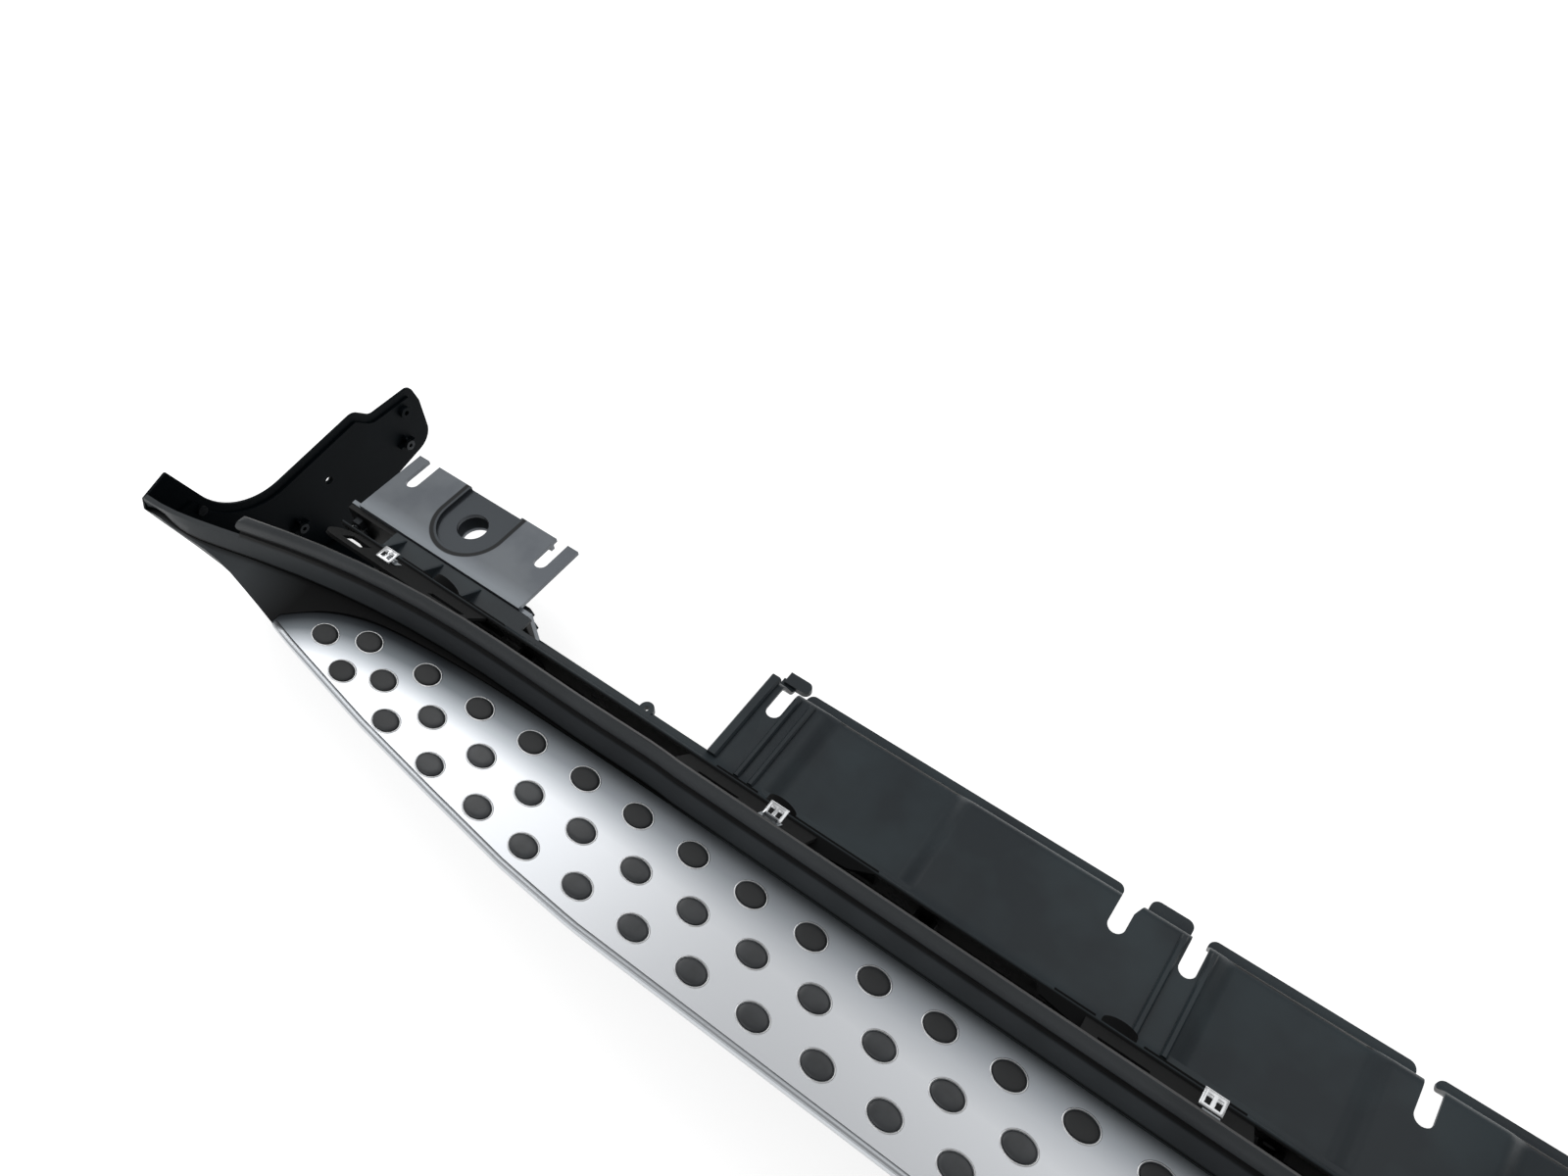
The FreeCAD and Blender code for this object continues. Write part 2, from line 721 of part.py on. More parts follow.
def mouth_round(end, side, inset):
    # takes the sharp corner off the flange beside a slot
    r = mouth_radius
    a, b = sorted((end, end + side * r))
    corner = block(a - 0.5, b, inset - r, inset + 1.0, flange_level - 2 * carrier_skin, flange_level + 2.0)
    if side < 0:
        corner = block(a, b + 0.5, inset - r, inset + 1.0, flange_level - 2 * carrier_skin, flange_level + 2.0)
    return corner.cut(rod(r, 20.0, end + side * r, inset - r, flange_level - 10.0, (0, 0, 1)))


def slot_mouths():
    cuts = []
    for centre, flare in open_slots():
        for side in (-1, 1):
            edge = centre + side * (slot_width / 2 + (slot_flare if flare == side else 0.0))
            strip = (centre, side) in ((along(slot_centres[1]), 1), (along(slot_centres[2]), -1))
            cuts.append(mouth_round(edge, side, middle_strip_inset if strip else flange_end_inset))
    return cuts


def guide_ribs():
    ribs = []
    for centre in (slot_centres[2], far_slot_centres[0]):
        for side in (-1, 1):
            middle = along(centre) + side * guide_rib_offset
            ribs.append(rib_block(middle))
    for place in arm_ribs:
        ribs += [rib_block(place), mirrored(rib_block(place))]
    return ribs


def ridge(middle, width, height, inset_a, inset_b):
    # a rib across the panel with bevelled shoulders
    half_width = width / 2
    shoulder = half_width - height / 3
    line = [(-half_width, -1.0), (-half_width, height / 2), (-shoulder, height), (shoulder, height),
            (half_width, height / 2), (half_width, -1.0)]
    face = closed_face([at(middle + shift, inset_a, shelf_level + rise) for shift, rise in line])
    return face.extrude(FreeCAD.Vector(0, inset_b - inset_a, 0))


def rib_block(middle):
    return ridge(middle, guide_rib_width, guide_rib_height, shelf_inset, shield_edge_inset - 4.0)


def arm_rims():
    # each end arm has a raised rim along its outer side
    rim = ridge(shield_start + arm_rim_width / 2, arm_rim_width, arm_rim_height, shelf_edge_inset,
                shield_edge_inset + 2.0)
    return [rim, mirrored(rim)]


def arm_hooks():
    # the tip of each end arm reaches across the slot's mouth and leaves a narrow way in
    radius = arm_hook_width / 2
    centre = slot_centres[0]
    bottom = flange_level - carrier_skin
    inset = flange_end_inset - arm_hook_overlap + radius
    hook = block(shield_start + 3.0, centre, inset - radius, inset + radius, bottom, bottom + arm_hook_height)
    hook = hook.fuse(rod(radius, arm_hook_height, centre, inset, bottom, (0, 0, 1)))
    return [hook, mirrored(hook)]


def shield_sides():
    # the first and last arms have a side wall, and one short strip reaches further to the car
    line = [(shelf_edge_inset - 2.0, shelf_level), (shield_edge_inset, shelf_level), (flange_inset, flange_level),
            (flange_end_inset, flange_level), (flange_end_inset, arm_side_level),
            (shelf_edge_inset - 2.0, arm_side_level)]
    side = extrude_section(line, shield_start, shield_start + carrier_skin)
    r = slot_width / 2
    strip = block(along(slot_centres[1]) + r, along(slot_centres[2]) - r, flange_end_inset - 2.0, middle_strip_inset,
                  flange_level - carrier_skin, flange_level)
    return [side, mirrored(side), strip]


def leg_places():
    return both_ends([along(end) for end in leg_centres])


def tab_point(share, depth):
    # a point on the sloping tab, as a share of its length up from the rim and a depth below its face
    length = math.hypot(tab_rise, tab_run)
    inset = tab_foot_inset - tab_run * share - depth * tab_rise / length
    return inset, carrier_rim_level + tab_rise * share - depth * tab_run / length


def tab_plate(end_a, end_b):
    corners = [(-0.05, 0.0), (1.0, 0.0), (1.0, carrier_skin), (-0.05, carrier_skin)]
    return extrude_section([tab_point(share, depth) for share, depth in corners], end_a, end_b)


def tab_groups_all():
    near = [tuple(along(end) for end in group[:-1]) + group[-1:] for group in tab_groups]
    full = fascia_length
    far = [(full - b, full - a, full - slot, full - clip, full - boss, share)
           for a, b, slot, clip, boss, share in reversed(near)]
    return near + far


def tab_block(end, share, length, width, height_a, height_b):
    # a box square to the tab, centred on it, from one height above its face to another
    normal = FreeCAD.Vector(0, tab_rise, tab_run).normalize()
    up = FreeCAD.Vector(0, -tab_run, tab_rise).normalize()
    along = FreeCAD.Vector(1, 0, 0)
    centre = at(end, *tab_point(share, 0.0)) + normal * height_a
    corners = [centre + along * (sx * length / 2) + up * (sy * width / 2)
               for sx, sy in ((-1, -1), (1, -1), (1, 1), (-1, 1))]
    return closed_face(corners).extrude(normal * (height_b - height_a))


def tab_cut(end, share, length, width):
    # an oblong opening square through a tab
    return tab_block(end, share, length, width, -3 * carrier_skin, 3 * carrier_skin)


def carrier_tabs():
    solids = []
    cuts = []
    for end_a, end_b, slot, clip, boss, share in tab_groups_all():
        solids.append(tab_plate(end_a, end_b))
        cuts.append(tab_cut(slot, tab_slot_share, tab_slot[0], tab_slot[1]))
        cuts.append(tab_cut(clip, share, clip_neck + 2 * clip_gap, clip_width))
    return solids, cuts


def bosses():
    # round towers on the wall, each with a bore towards the car
    solids = []
    bores = []
    for group in tab_groups_all():
        inset = carrier_rim_inset - 3.0
        level = carrier_rim_level - 14.0
        solids.append(rod(boss_radius, boss_reach, group[4], inset, level, (0, 1, 0)))
        bores.append(rod(boss_bore / 2, 40.0, group[4], inset - 12.0, level, (0, 1, 0)))
    return solids, bores


def wall_pads():
    solids = []
    near = [(along(a), along(b)) for a, b in pads]
    for end_a, end_b in near + [(fascia_length - b, fascia_length - a) for a, b in near]:
        middle = carrier_rim_level - 17.0
        inset = carrier_rim_inset + 3.0
        solids.append(block(end_a, end_b, inset - 3.0, inset + pad_rise, middle - pad_height / 2,
                            middle + pad_height / 2))
    return solids


def wall_hole_cuts():
    cuts = []
    for end in both_ends([along(end) for end in wall_holes]):
        run = (wall_hole_length - wall_hole_height) / 2
        level = carrier_rim_level - 27.0
        inset = carrier_rim_inset - 8.0
        for shift in (-run, run):
            cuts.append(rod(wall_hole_height / 2, 24.0, end + shift, inset, level, (0, 1, 0)))
        cuts.append(block(end - run, end + run, inset, inset + 24.0, level - wall_hole_height / 2,
                          level + wall_hole_height / 2))
    return cuts


def carrier_legs():
    # hollow arms from the wall to the beam, each with a screw hole in its end
    solids = []
    bores = []
    face = beam_inset + beam_depth
    for end in leg_places():
        a = end - leg_width / 2
        b = end + leg_width / 2
        leg = block(a, b, face, carrier_fold_inset - 2.0, -42.0, -22.0)
        leg = leg.cut(block(a + 2.5, b - 2.5, face + 4.0, carrier_fold_inset, -39.5, -19.5))
        solids.append(leg)
        bores.append(rod(screw_diameter / 2 + slip, 8.0, end, face - 2.0, leg_screw_level, (0, 1, 0)))
    return solids, bores


def ledge_ribs():
    # small gussets between the wall and the shelf above each bracket
    ribs = []
    for end in (140.0, 185.0, 230.0):
        for place in (end, fascia_length - end):
            points = [(carrier_fold_inset, carrier_fold_level - 2.0), (carrier_fold_inset, carrier_fold_level + 6.0),
                      (ledge_inset - 2.0, shelf_level), (shelf_inset, shelf_level - 1.0)]
            ribs.append(extrude_section(points, place - 1.0, place + 1.0))
    return ribs


def shelf_bosses():
    solids = []
    bores = []
    for end, inset in channel_bosses:
        for place in (end, fascia_length - end):
            solids.append(rod(6.5, 6.0, place, inset, channel_bottom_level - 2.0, (0, 0, 1)))
            bores.append(rod(2.2, 20.0, place, inset, channel_bottom_level - 6.0, (0, 0, 1)))
    return solids, bores


def carrier_shield():
    start, stop = shield_ends()
    pieces = [carrier_wall()]
    bracket_end = bracket_centre + bracket_length / 2 + ear_reach + 4.0
    pieces += channel(bracket_end, start)
    pieces += channel(stop, fascia_length - bracket_end)
    pieces += shield()
    pieces += guide_ribs() + arm_rims()
    tabs, tab_cuts = carrier_tabs()
    towers, bores = bosses()
    legs, leg_bores = carrier_legs()
    shelf_solids, shelf_bores = shelf_bosses()
    skirts, windows = wall_skirts()
    ears, ear_windows = tab_ears()
    pieces += tabs + ears + towers + wall_pads() + legs + ledge_ribs() + shelf_solids
    pieces += skirts + ledges() + rim_flanges() + rim_web_solids() + shield_sides()
    body = pieces[0].fuse(pieces[1:])
    slots = [slot_shape(centre, flare, slot_width, shelf_level - 50.0, shelf_level + 10.0)
             for centre, flare in open_slots()]
    cuts = tab_cuts + ear_windows + bores + leg_bores + shelf_bores + windows + wall_hole_cuts() + slots
    body = body.cut(Part.makeCompound(cuts + slot_mouths()))
    return body.fuse(arm_hooks()).removeSplitter()


def spring_clips():
    # bright steel clips: a flat head on the tab, two legs through its window and a bridge above
    clips = []
    for group in tab_groups_all():
        end, clip_share = group[3], group[5]
        width = clip_width - 2 * clip_gap
        head = tab_block(end, clip_share, clip_length, width, 0.0, clip_sheet)
        window = tab_block(end, clip_share, clip_neck - 2 * clip_sheet, width / 2, -1.0, clip_sheet + 1.0)
        legs = tab_block(end, clip_share, clip_neck, width, -carrier_skin - clip_reach, clip_sheet)
        gap = tab_block(end, clip_share, clip_neck - 2 * clip_sheet, width + 2.0, -20.0, 0.0)
        bridge = tab_block(end, clip_share, clip_neck, width / 3, 0.0, clip_sheet + 2.4)
        under = tab_block(end, clip_share, clip_neck - 2 * clip_sheet, width, -1.0, 2.4)
        body = head.cut(window).fuse(legs.cut(gap))
        clips.append(body.fuse(bridge.cut(under)).removeSplitter())
    return clips


def hanger(centre):
    # a welded steel hanger: two cheeks under the beam and a back plate behind the bracket
    top = -deck_thickness - beam_height
    back = bracket_back_inset - hanger_sheet
    bottom = hanger_bottom_level
    reach = bracket_length / 2 + ear_reach
    plate = block(centre - reach, centre + reach, back, bracket_back_inset, bottom + 2.0,
                  shelf_level - carrier_skin - slip)
    pieces = [plate]
    for side in (-1, 1):
        middle = centre + side * cheek_spread / 2
        shoulder = top - 19.0
        line = [(beam_inset + hanger_set_in, top), (beam_inset + beam_depth, top),
                (beam_inset + beam_depth + 22.0, shoulder), (back + 1.0, shoulder), (back + 1.0, bottom + 2.0),
                (beam_inset + 34.0, bottom + 2.0), (beam_inset + 9.0, top - 14.0)]
        pieces.append(extrude_section(line, middle - hanger_sheet / 2, middle + hanger_sheet / 2))
    flat = block(centre - cheek_spread / 2, centre + cheek_spread / 2, beam_inset + hanger_set_in,
                 beam_inset + beam_depth, top - hanger_sheet, top)
    pieces.append(flat)
    return join(pieces)


def bracket(centre):
    # one folded and pressed sheet: top with slots, bore and sunk pad, back flange with ears, front web
    top = bracket_level
    a = centre - bracket_length / 2
    b = centre + bracket_length / 2
    plate = block(a, b, bracket_back_inset, bracket_edge_inset, top - sheet, top)
    back = block(a - ear_reach, b + ear_reach, bracket_back_inset, bracket_back_inset + sheet,
                 top - bracket_back_drop, top - sheet)
    back = back.fuse(block(a, b, bracket_back_inset, bracket_back_inset + sheet, top - sheet, top))
    web = block(centre - web_half_length, centre + web_half_length, bracket_edge_inset - sheet, bracket_edge_inset,
                top - web_drop, top - 1.0)
    pad_radius = pad_width / 2
    reach = bracket_edge_inset - bracket_bore_inset
    sunk = rod(pad_radius, pad_drop + sheet, centre, bracket_bore_inset, top - pad_drop - sheet, (0, 0, 1))
    sunk = sunk.fuse(block(centre - pad_radius, centre + pad_radius, bracket_bore_inset, bracket_edge_inset,
                           top - pad_drop - sheet, top))
    sunk = sunk.common(block(a, b, bracket_back_inset, bracket_edge_inset, top - 2 * sheet - pad_drop, top))
    bowl = rod(pad_radius - sheet, pad_drop, centre, bracket_bore_inset, top - pad_drop, (0, 0, 1))
    bowl = bowl.fuse(block(centre - pad_radius + sheet, centre + pad_radius - sheet, bracket_bore_inset,
                           bracket_bore_inset + reach + 1.0, top - pad_drop, top))
    body = plate.fuse([back, web, sunk]).cut(bowl)
    cuts = [rod(bracket_bore / 2, 30.0, centre, bracket_bore_inset, top - 20.0, (0, 0, 1))]
    r = bracket_slot_width / 2
    for side in (-1, 1):
        middle = centre + side * (bracket_length / 2 - bracket_slot_edge - r)
        closed = bracket_edge_inset - bracket_slot_depth + r
        cuts.append(rod(r, 12.0, middle, closed, top - 8.0, (0, 0, 1)))
        cuts.append(block(middle - r, middle + r, closed, bracket_edge_inset + 2.0, top - 8.0, top + 4.0))
    for side in (-1, 1):
        for level in bolt_levels:
            cuts.append(rod(bolt_diameter / 2 + 0.4, 3 * sheet, centre + side * bolt_spread,
                            bracket_back_inset - sheet, level, (0, 1, 0)))
    return body.cut(Part.makeCompound(cuts)).removeSplitter()


def bracket_stay(centre):
    # the lower sheet, square to the bore, with a lip that turns down past the web
    top = bracket_level - stay_drop
    a = centre - stay_half_length
    b = centre + stay_half_length
    plate = block(a, b, bracket_back_inset + sheet, stay_edge_inset, top - sheet, top)
    lip = block(a, b, stay_edge_inset - sheet, stay_edge_inset, top - sheet - stay_lip, top)
    root = block(a, b, bracket_back_inset + sheet, bracket_back_inset + 2 * sheet, top - sheet - stay_lip, top)
    bore = rod(bracket_bore / 2, 20.0, centre, bracket_bore_inset, top - 10.0, (0, 0, 1))
    return join([plate, lip, root]).cut(bore)


def hexagon(width, height, end, inset, level):
    radius = width / math.sqrt(3)
    points = []
    for k in range(6):
        angle = math.radians(60 * k + 30)
        points.append(at(end + radius * math.sin(angle), inset, level + radius * math.cos(angle)))
    return closed_face(points).extrude(FreeCAD.Vector(0, height, 0))


def bolt_places(centre):
    return [(centre + side * bolt_spread, level) for side in (-1, 1) for level in bolt_levels]


def bracket_bolts(centre):
    bolts = []
    seat = bracket_back_inset + sheet + washer_thickness
    grip = sheet + hanger_sheet + washer_thickness + nut_height + 2.0
    for end, level in bolt_places(centre):
        head = hexagon(bolt_head_width, bolt_head_height, end, seat, level)
        shank = rod(bolt_diameter / 2 - slip, grip + 1.0, end, seat + 1.0, level, (0, -1, 0))
        bolts.append(head.fuse(shank))
    return bolts


def bracket_washers(centre):
    washers = []
    seat = bracket_back_inset + sheet
    for end, level in bolt_places(centre):
        ring = rod(washer_diameter / 2, washer_thickness, end, seat, level, (0, 1, 0))
        washers.append(ring.cut(rod(bolt_diameter / 2 + 0.2, 6.0, end, seat - 2.0, level, (0, 1, 0))))
    return washers


def bracket_nuts(centre):
    nuts = []
    seat = bracket_back_inset - hanger_sheet - nut_height
    for end, level in bolt_places(centre):
        nut = hexagon(bolt_head_width, nut_height, end, seat, level)
        nuts.append(nut.cut(rod(bolt_diameter / 2, nut_height + 4.0, end, seat - 2.0, level, (0, 1, 0))))
    return nuts


def hanger_with_holes(centre):
    holes = []
    for end, level in bolt_places(centre):
        holes.append(rod(bolt_diameter / 2 + 0.4, 20.0, end, bracket_back_inset - 12.0, level, (0, 1, 0)))
    return hanger(centre).cut(Part.makeCompound(holes))


def cap_outline():
    # the top line is set by the car's arch, and the front line follows the fascia's own end
    front = [(inset, level, 0.0) for inset, level in reversed(skirt_line(0.0))]
    edge = (edge_inset(0.0), edge_level(0.0), 0.0)
    return cap_top + front + [edge]


def end_cap():
    face = rounded_face(cap_outline(), -cap_thickness)
    cap = face.extrude(FreeCAD.Vector(cap_thickness, 0, 0))
    foot = closed_face([at(end, inset, -tread_height) for end, inset in [(-1.0, cap_foot[0][1])] + cap_foot +
                        [(-1.0, cap_foot[-1][1])]])
    cap = cap.fuse(foot.extrude(FreeCAD.Vector(0, 0, cap_thickness)))
    inset, level, diameter = cap_hole
    hole = rod(diameter / 2, 3 * cap_thickness, -2 * cap_thickness, inset, level, (1, 0, 0))
    holes = [hole]
    for inset, level in cap_screws:
        holes.append(rod(screw_diameter / 2, 3 * cap_thickness, -2 * cap_thickness, inset, level, (1, 0, 0)))
    return cap.cut(Part.makeCompound(holes)).removeSplitter()


def end_liner():
    # the inner sheet of the cap, set in from its edge and clear of the fascia's inside
    face = rounded_face(cap_outline(), 0.0).makeOffset2D(-liner_margin)
    sheet_body = face.extrude(FreeCAD.Vector(liner_thickness, 0, 0))
    cover = block(-5.0, 10.0, 0.0, board_depth, liner_top_level, 60.0)
    inside = [(inset + wall + 1.6, level) for inset, level in skirt_line(0.0)]
    keep_off = [(-20.0, 0.0)] + inside[:-1] + [(sole_edge_inset + 1.0, wall - tread_height + 1.0),
                                              (sole_edge_inset + 1.0, -tread_height - 20.0),
                                              (-20.0, -tread_height - 20.0)]
    side = extrude_section(keep_off, -5.0, 10.0)
    upstand = block(-5.0, 10.0, sole_edge_inset - wall - 1.0, sole_edge_inset + 1.0, -tread_height - 5.0,
                    upstand_height - tread_height + 1.0)
    body = sheet_body.cut(cover.fuse([side, upstand]))
    inset, level, diameter = liner_boss
    body = body.fuse(rod(diameter / 2, 7.0, 0.0, inset, level, (1, 0, 0)))
    holes = [rod(2.5, 12.0, liner_thickness, inset, level, (1, 0, 0))]
    inset, level, diameter = cap_hole
    holes.append(rod(diameter / 2 + 0.5, 12.0, -4.0, inset, level, (1, 0, 0)))
    for inset, level in cap_screws:
        holes.append(rod(screw_diameter / 2 + 0.3, 12.0, -4.0, inset, level, (1, 0, 0)))
    ribs = []
    for inset, level in liner_clips:
        ribs.append(block(0.0, 8.0, inset - 1.0, inset + 1.0, level - 9.0, level + 9.0))
        ribs.append(block(0.0, 8.0, inset - 9.0, inset + 9.0, level - 1.0, level + 1.0))
    return body.fuse(ribs).cut(Part.makeCompound(holes)).removeSplitter()


def end_screws():
    screws = []
    for inset, level in cap_screws:
        head = rod(screw_head_diameter / 2, screw_head_height, liner_thickness, inset, level, (1, 0, 0))
        shank = rod(screw_diameter / 2 - 0.2, liner_thickness + cap_thickness + 2.0, liner_thickness + 1.0,
                    inset, level, (-1, 0, 0))
        screws.append(head.fuse(shank))
    return screws


def end_clips():
    clips = []
    for inset, level in liner_clips:
        ring = rod(5.0, 3.0, 8.0, inset, level, (1, 0, 0))
        clips.append(ring.cut(rod(2.0, 8.0, 6.0, inset, level, (1, 0, 0))))
    return clips


def leg_screws():
    screws = []
    face = beam_inset + beam_depth
    for end in leg_places():
        head = rod(screw_head_diameter / 2, screw_head_height, end, face + 4.0, leg_screw_level, (0, 1, 0))
        shank = rod(screw_diameter / 2, leg_screw_length, end, face + 4.5, leg_screw_level, (0, -1, 0))
        screws.append(head.fuse(shank))
    return screws


def save(name, solids):
    shape = Part.makeCompound(solids) if len(solids) > 1 else solids[0]
    shape.exportStep("parts/%s.step" % name)


os.makedirs("parts", exist_ok=True)
save("outer_trim", [outer_trim()])
save("tread_plate", [tread_plate()])
save("stud_mat", [stud_mat()])
save("sill_seal", [sill_seal()])
save("step_beam", [step_beam()])
save("carrier_shield", [carrier_shield()])
save("spring_clips", spring_clips())
save("carrier_screws", leg_screws())
for place, turn in (("front", False), ("rear", True)):
    side_pieces = {
        "hanger": [hanger_with_holes(bracket_centre)],
        "bracket": [bracket(bracket_centre)],
        "bracket_stay": [bracket_stay(bracket_centre)],
        "bracket_bolts": bracket_bolts(bracket_centre),
        "bracket_washers": bracket_washers(bracket_centre),
        "bracket_nuts": bracket_nuts(bracket_centre),
        "end_cap": [end_cap()],
        "end_liner": [end_liner()],
        "end_screws": end_screws(),
        "end_clips": end_clips(),
    }
    for name, solids in side_pieces.items():
        placed = [mirrored(solid) for solid in solids] if turn else solids
        save(place + "_" + name, placed)
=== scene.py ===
import bpy
import bmesh
import math
from mathutils import Matrix, Vector


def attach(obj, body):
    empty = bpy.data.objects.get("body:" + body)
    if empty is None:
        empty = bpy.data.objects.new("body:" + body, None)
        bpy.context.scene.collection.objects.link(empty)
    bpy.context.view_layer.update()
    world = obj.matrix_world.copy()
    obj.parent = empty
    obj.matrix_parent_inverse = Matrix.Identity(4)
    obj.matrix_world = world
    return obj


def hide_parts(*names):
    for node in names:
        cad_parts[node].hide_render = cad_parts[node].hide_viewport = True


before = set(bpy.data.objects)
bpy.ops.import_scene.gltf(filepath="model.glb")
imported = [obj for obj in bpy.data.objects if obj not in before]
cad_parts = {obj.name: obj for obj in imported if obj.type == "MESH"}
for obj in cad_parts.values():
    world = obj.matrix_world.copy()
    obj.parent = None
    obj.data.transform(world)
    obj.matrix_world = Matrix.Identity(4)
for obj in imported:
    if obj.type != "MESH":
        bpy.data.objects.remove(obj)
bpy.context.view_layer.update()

MM = 0.001

# Sizes taken from the part, in millimetres. An end is a distance from the fascia's front end, an inset one from the
# tread's outer edge, and a level a height over the tread.
FASCIA_LENGTH = 1952.0
BOARD_DEPTH = 326.5
TREAD_HEIGHT = 162.0
STUD_LENGTH = 21.4
STUD_WIDTH = 15.6
STUD_PITCH = 48.0
STUD_ROWS = [(448.0, 22.5), (424.0, 53.5), (448.0, 84.5)]
END_STUDS = [(206.4, 60.9), (239.0, 75.5), (242.0, 45.9), (273.2, 58.1), (296.0, 80.6), (300.4, 35.5),
             (325.0, 57.0), (348.0, 82.5), (352.0, 29.1), (376.4, 54.9), (398.2, 84.1), (402.5, 25.2)]
# the tread's outer and inner edge: (end, inset) pairs of the front taper
OUTER_EDGE = [(0.0, 55.5), (80.0, 58.5), (133.0, 50.5), (188.0, 39.5), (284.0, 23.5), (367.0, 13.0), (444.0, 4.0),
              (510.0, 0.0)]
INNER_EDGE = [(163.0, 52.0), (170.0, 58.5), (180.0, 67.5), (192.0, 75.5), (206.0, 82.5), (224.0, 88.5),
              (246.0, 92.8), (290.0, 98.0), (350.0, 101.2), (420.0, 103.0), (510.0, 103.9)]
TAPER_LENGTH = 510.0
# near its ends the fascia sweeps outwards along an arc, and its foot line rises
SWEEP_START, SWEEP_RADIUS, SWEEP_ANGLE = 340.0, 900.0, 14.3
FOOT_LEVEL, FOOT_RISE, FOOT_POWER = 2.0, 7.0, 1.3
BAND_INSET, BAND_SWEEP_SHARE, BAND_FROM_EDGE = 110.5, 0.97, 4.0
# the bracket's sunk pad: its middle, counted from the middle of the board, its inset and half its width
PAD_FROM_MIDDLE, PAD_INSET, PAD_HALF_WIDTH = 802.0, 231.5, 35.0
CLIP_ENDS = [197.0, 574.0, 887.0]
LEAF_INSET, LEAF_LEVEL = 137.0, 12.6

# Where a painted shade or a painted highlight lies: from, to, and the distance over which it fades, all in
# millimetres.
FASCIA_COVE_LEVELS = (24.3, 30.0, 2.6)
FOOT_GROOVE_HEIGHTS = (0.0, 1.6, 1.2)
DECK_ENDS, DECK_HEIGHTS = (165.0, 500.0, 55.0), (-9.0, 0.2, 0.8)
SEAL_COVE_LEVELS = (26.0, 31.4, 2.4)
SEAL_LIP_PAST_BAND = (6.6, 20.0, 1.2)
DARK_STUD_INSETS, DARK_STUD_ENDS = (72.0, 120.0, 12.0), (0.0, 235.0, 130.0)
CREASE_INSETS, CREASE_LEVELS = (261.5, 268.5, 1.0), (-83.0, -70.5, 1.0)
WALL_INSETS, WALL_LEVELS = (118.0, 158.0, 4.0), (-60.0, -5.5, 2.0)
TAB_INSETS, TAB_LEVELS = (100.0, 146.0, 1.5), (-5.0, 60.0, 1.0)
JOGGLE_REACH = (PAD_HALF_WIDTH - 1.5, PAD_HALF_WIDTH + 1.5, 0.9)
PAD_REACH = (0.0, PAD_HALF_WIDTH - 1.5, 0.9)
BRACKET_TOP_LEVELS = (-64.0, -50.0, 1.0)
BRACKET_FOLD_INSETS = (170.0, 193.0, 14.0)
PAINTED_REFLECTION_WIDTH = 60.0


def place(end, inset, level):
    """A point in metres, in the shared frame."""
    return Vector((end - FASCIA_LENGTH / 2, inset - BOARD_DEPTH / 2, TREAD_HEIGHT + level)) * MM


def linear(code, alpha=1.0):
    """An sRGB hex colour as the linear colour that a shader takes."""
    parts = [int(code[i:i + 2], 16) / 255 for i in (1, 3, 5)]
    return tuple(c / 12.92 if c <= 0.04045 else ((c + 0.055) / 1.055) ** 2.4 for c in parts) + (alpha,)


def add(tree, kind, settings=None, inputs=None, links=None):
    """A node with its settings, its input values and its links (input name to the output that feeds it)."""
    node = tree.nodes.new(kind)
    for key, value in (settings or {}).items():
        setattr(node, key, value)
    for key, value in (inputs or {}).items():
        node.inputs[key].default_value = value
    for key, source in (links or {}).items():
        tree.links.new(source, node.inputs[key])
    return node


def start_material(name, colour, roughness, metallic=0.0, gloss=0.5):
    """A material with one principled shader; gloss is its specular level."""
    material = bpy.data.materials.new(name)
    material.use_nodes = True
    tree = material.node_tree
    tree.nodes.clear()
    shader = add(tree, "ShaderNodeBsdfPrincipled", inputs={"Base Color": linear(colour), "Roughness": roughness,
                                                           "Metallic": metallic, "Specular IOR Level": gloss})
    add(tree, "ShaderNodeOutputMaterial", links={"Surface": shader.outputs[0]})
    material.diffuse_color = linear(colour)
    return material, tree, shader


def noise(tree, size_mm, **inputs):
    """Object-space noise whose pattern has a real size."""
    texture = add(tree, "ShaderNodeTexCoord")
    mapping = add(tree, "ShaderNodeMapping", inputs={"Scale": (1.0 / (size_mm * MM),) * 3},
                  links={"Vector": texture.outputs["Object"]})
    return add(tree, "ShaderNodeTexNoise", inputs={"Scale": 1.0, **inputs},
               links={"Vector": mapping.outputs[0]}).outputs["Fac"]


def colour_ramp(tree, value, stops):
    """A value turned into a colour along (position, colour) stops."""
    node = add(tree, "ShaderNodeValToRGB", links={"Fac": value})
    elements = node.color_ramp.elements
    while len(elements) < len(stops):
        elements.new(0.5)
    for element, (where, code) in zip(elements, stops):
        element.position = where
        element.color = linear(code)
    return node.outputs[0]


def grain(tree, shader, size_mm, depth_mm):
    """A moulded or cast grain: noise bumps of a real size and depth."""
    bump = add(tree, "ShaderNodeBump", inputs={"Strength": 1.0, "Distance": depth_mm * MM},
               links={"Height": noise(tree, size_mm, Detail=2.0, Roughness=0.6)})
    tree.links.new(bump.outputs[0], shader.inputs["Normal"])


def patchy(tree, shader, size_mm, dark, light):
    """Slow changes of tone over a surface, as flow marks and handling leave."""
    tones = colour_ramp(tree, noise(tree, size_mm, Detail=3.0), [(0.4, dark), (0.6, light)])
    tree.links.new(tones, shader.inputs["Base Color"])


def position(tree):
    """The three object coordinates of a surface point, in metres."""
    texture = add(tree, "ShaderNodeTexCoord")
    return add(tree, "ShaderNodeSeparateXYZ", links={"Vector": texture.outputs["Object"]}).outputs


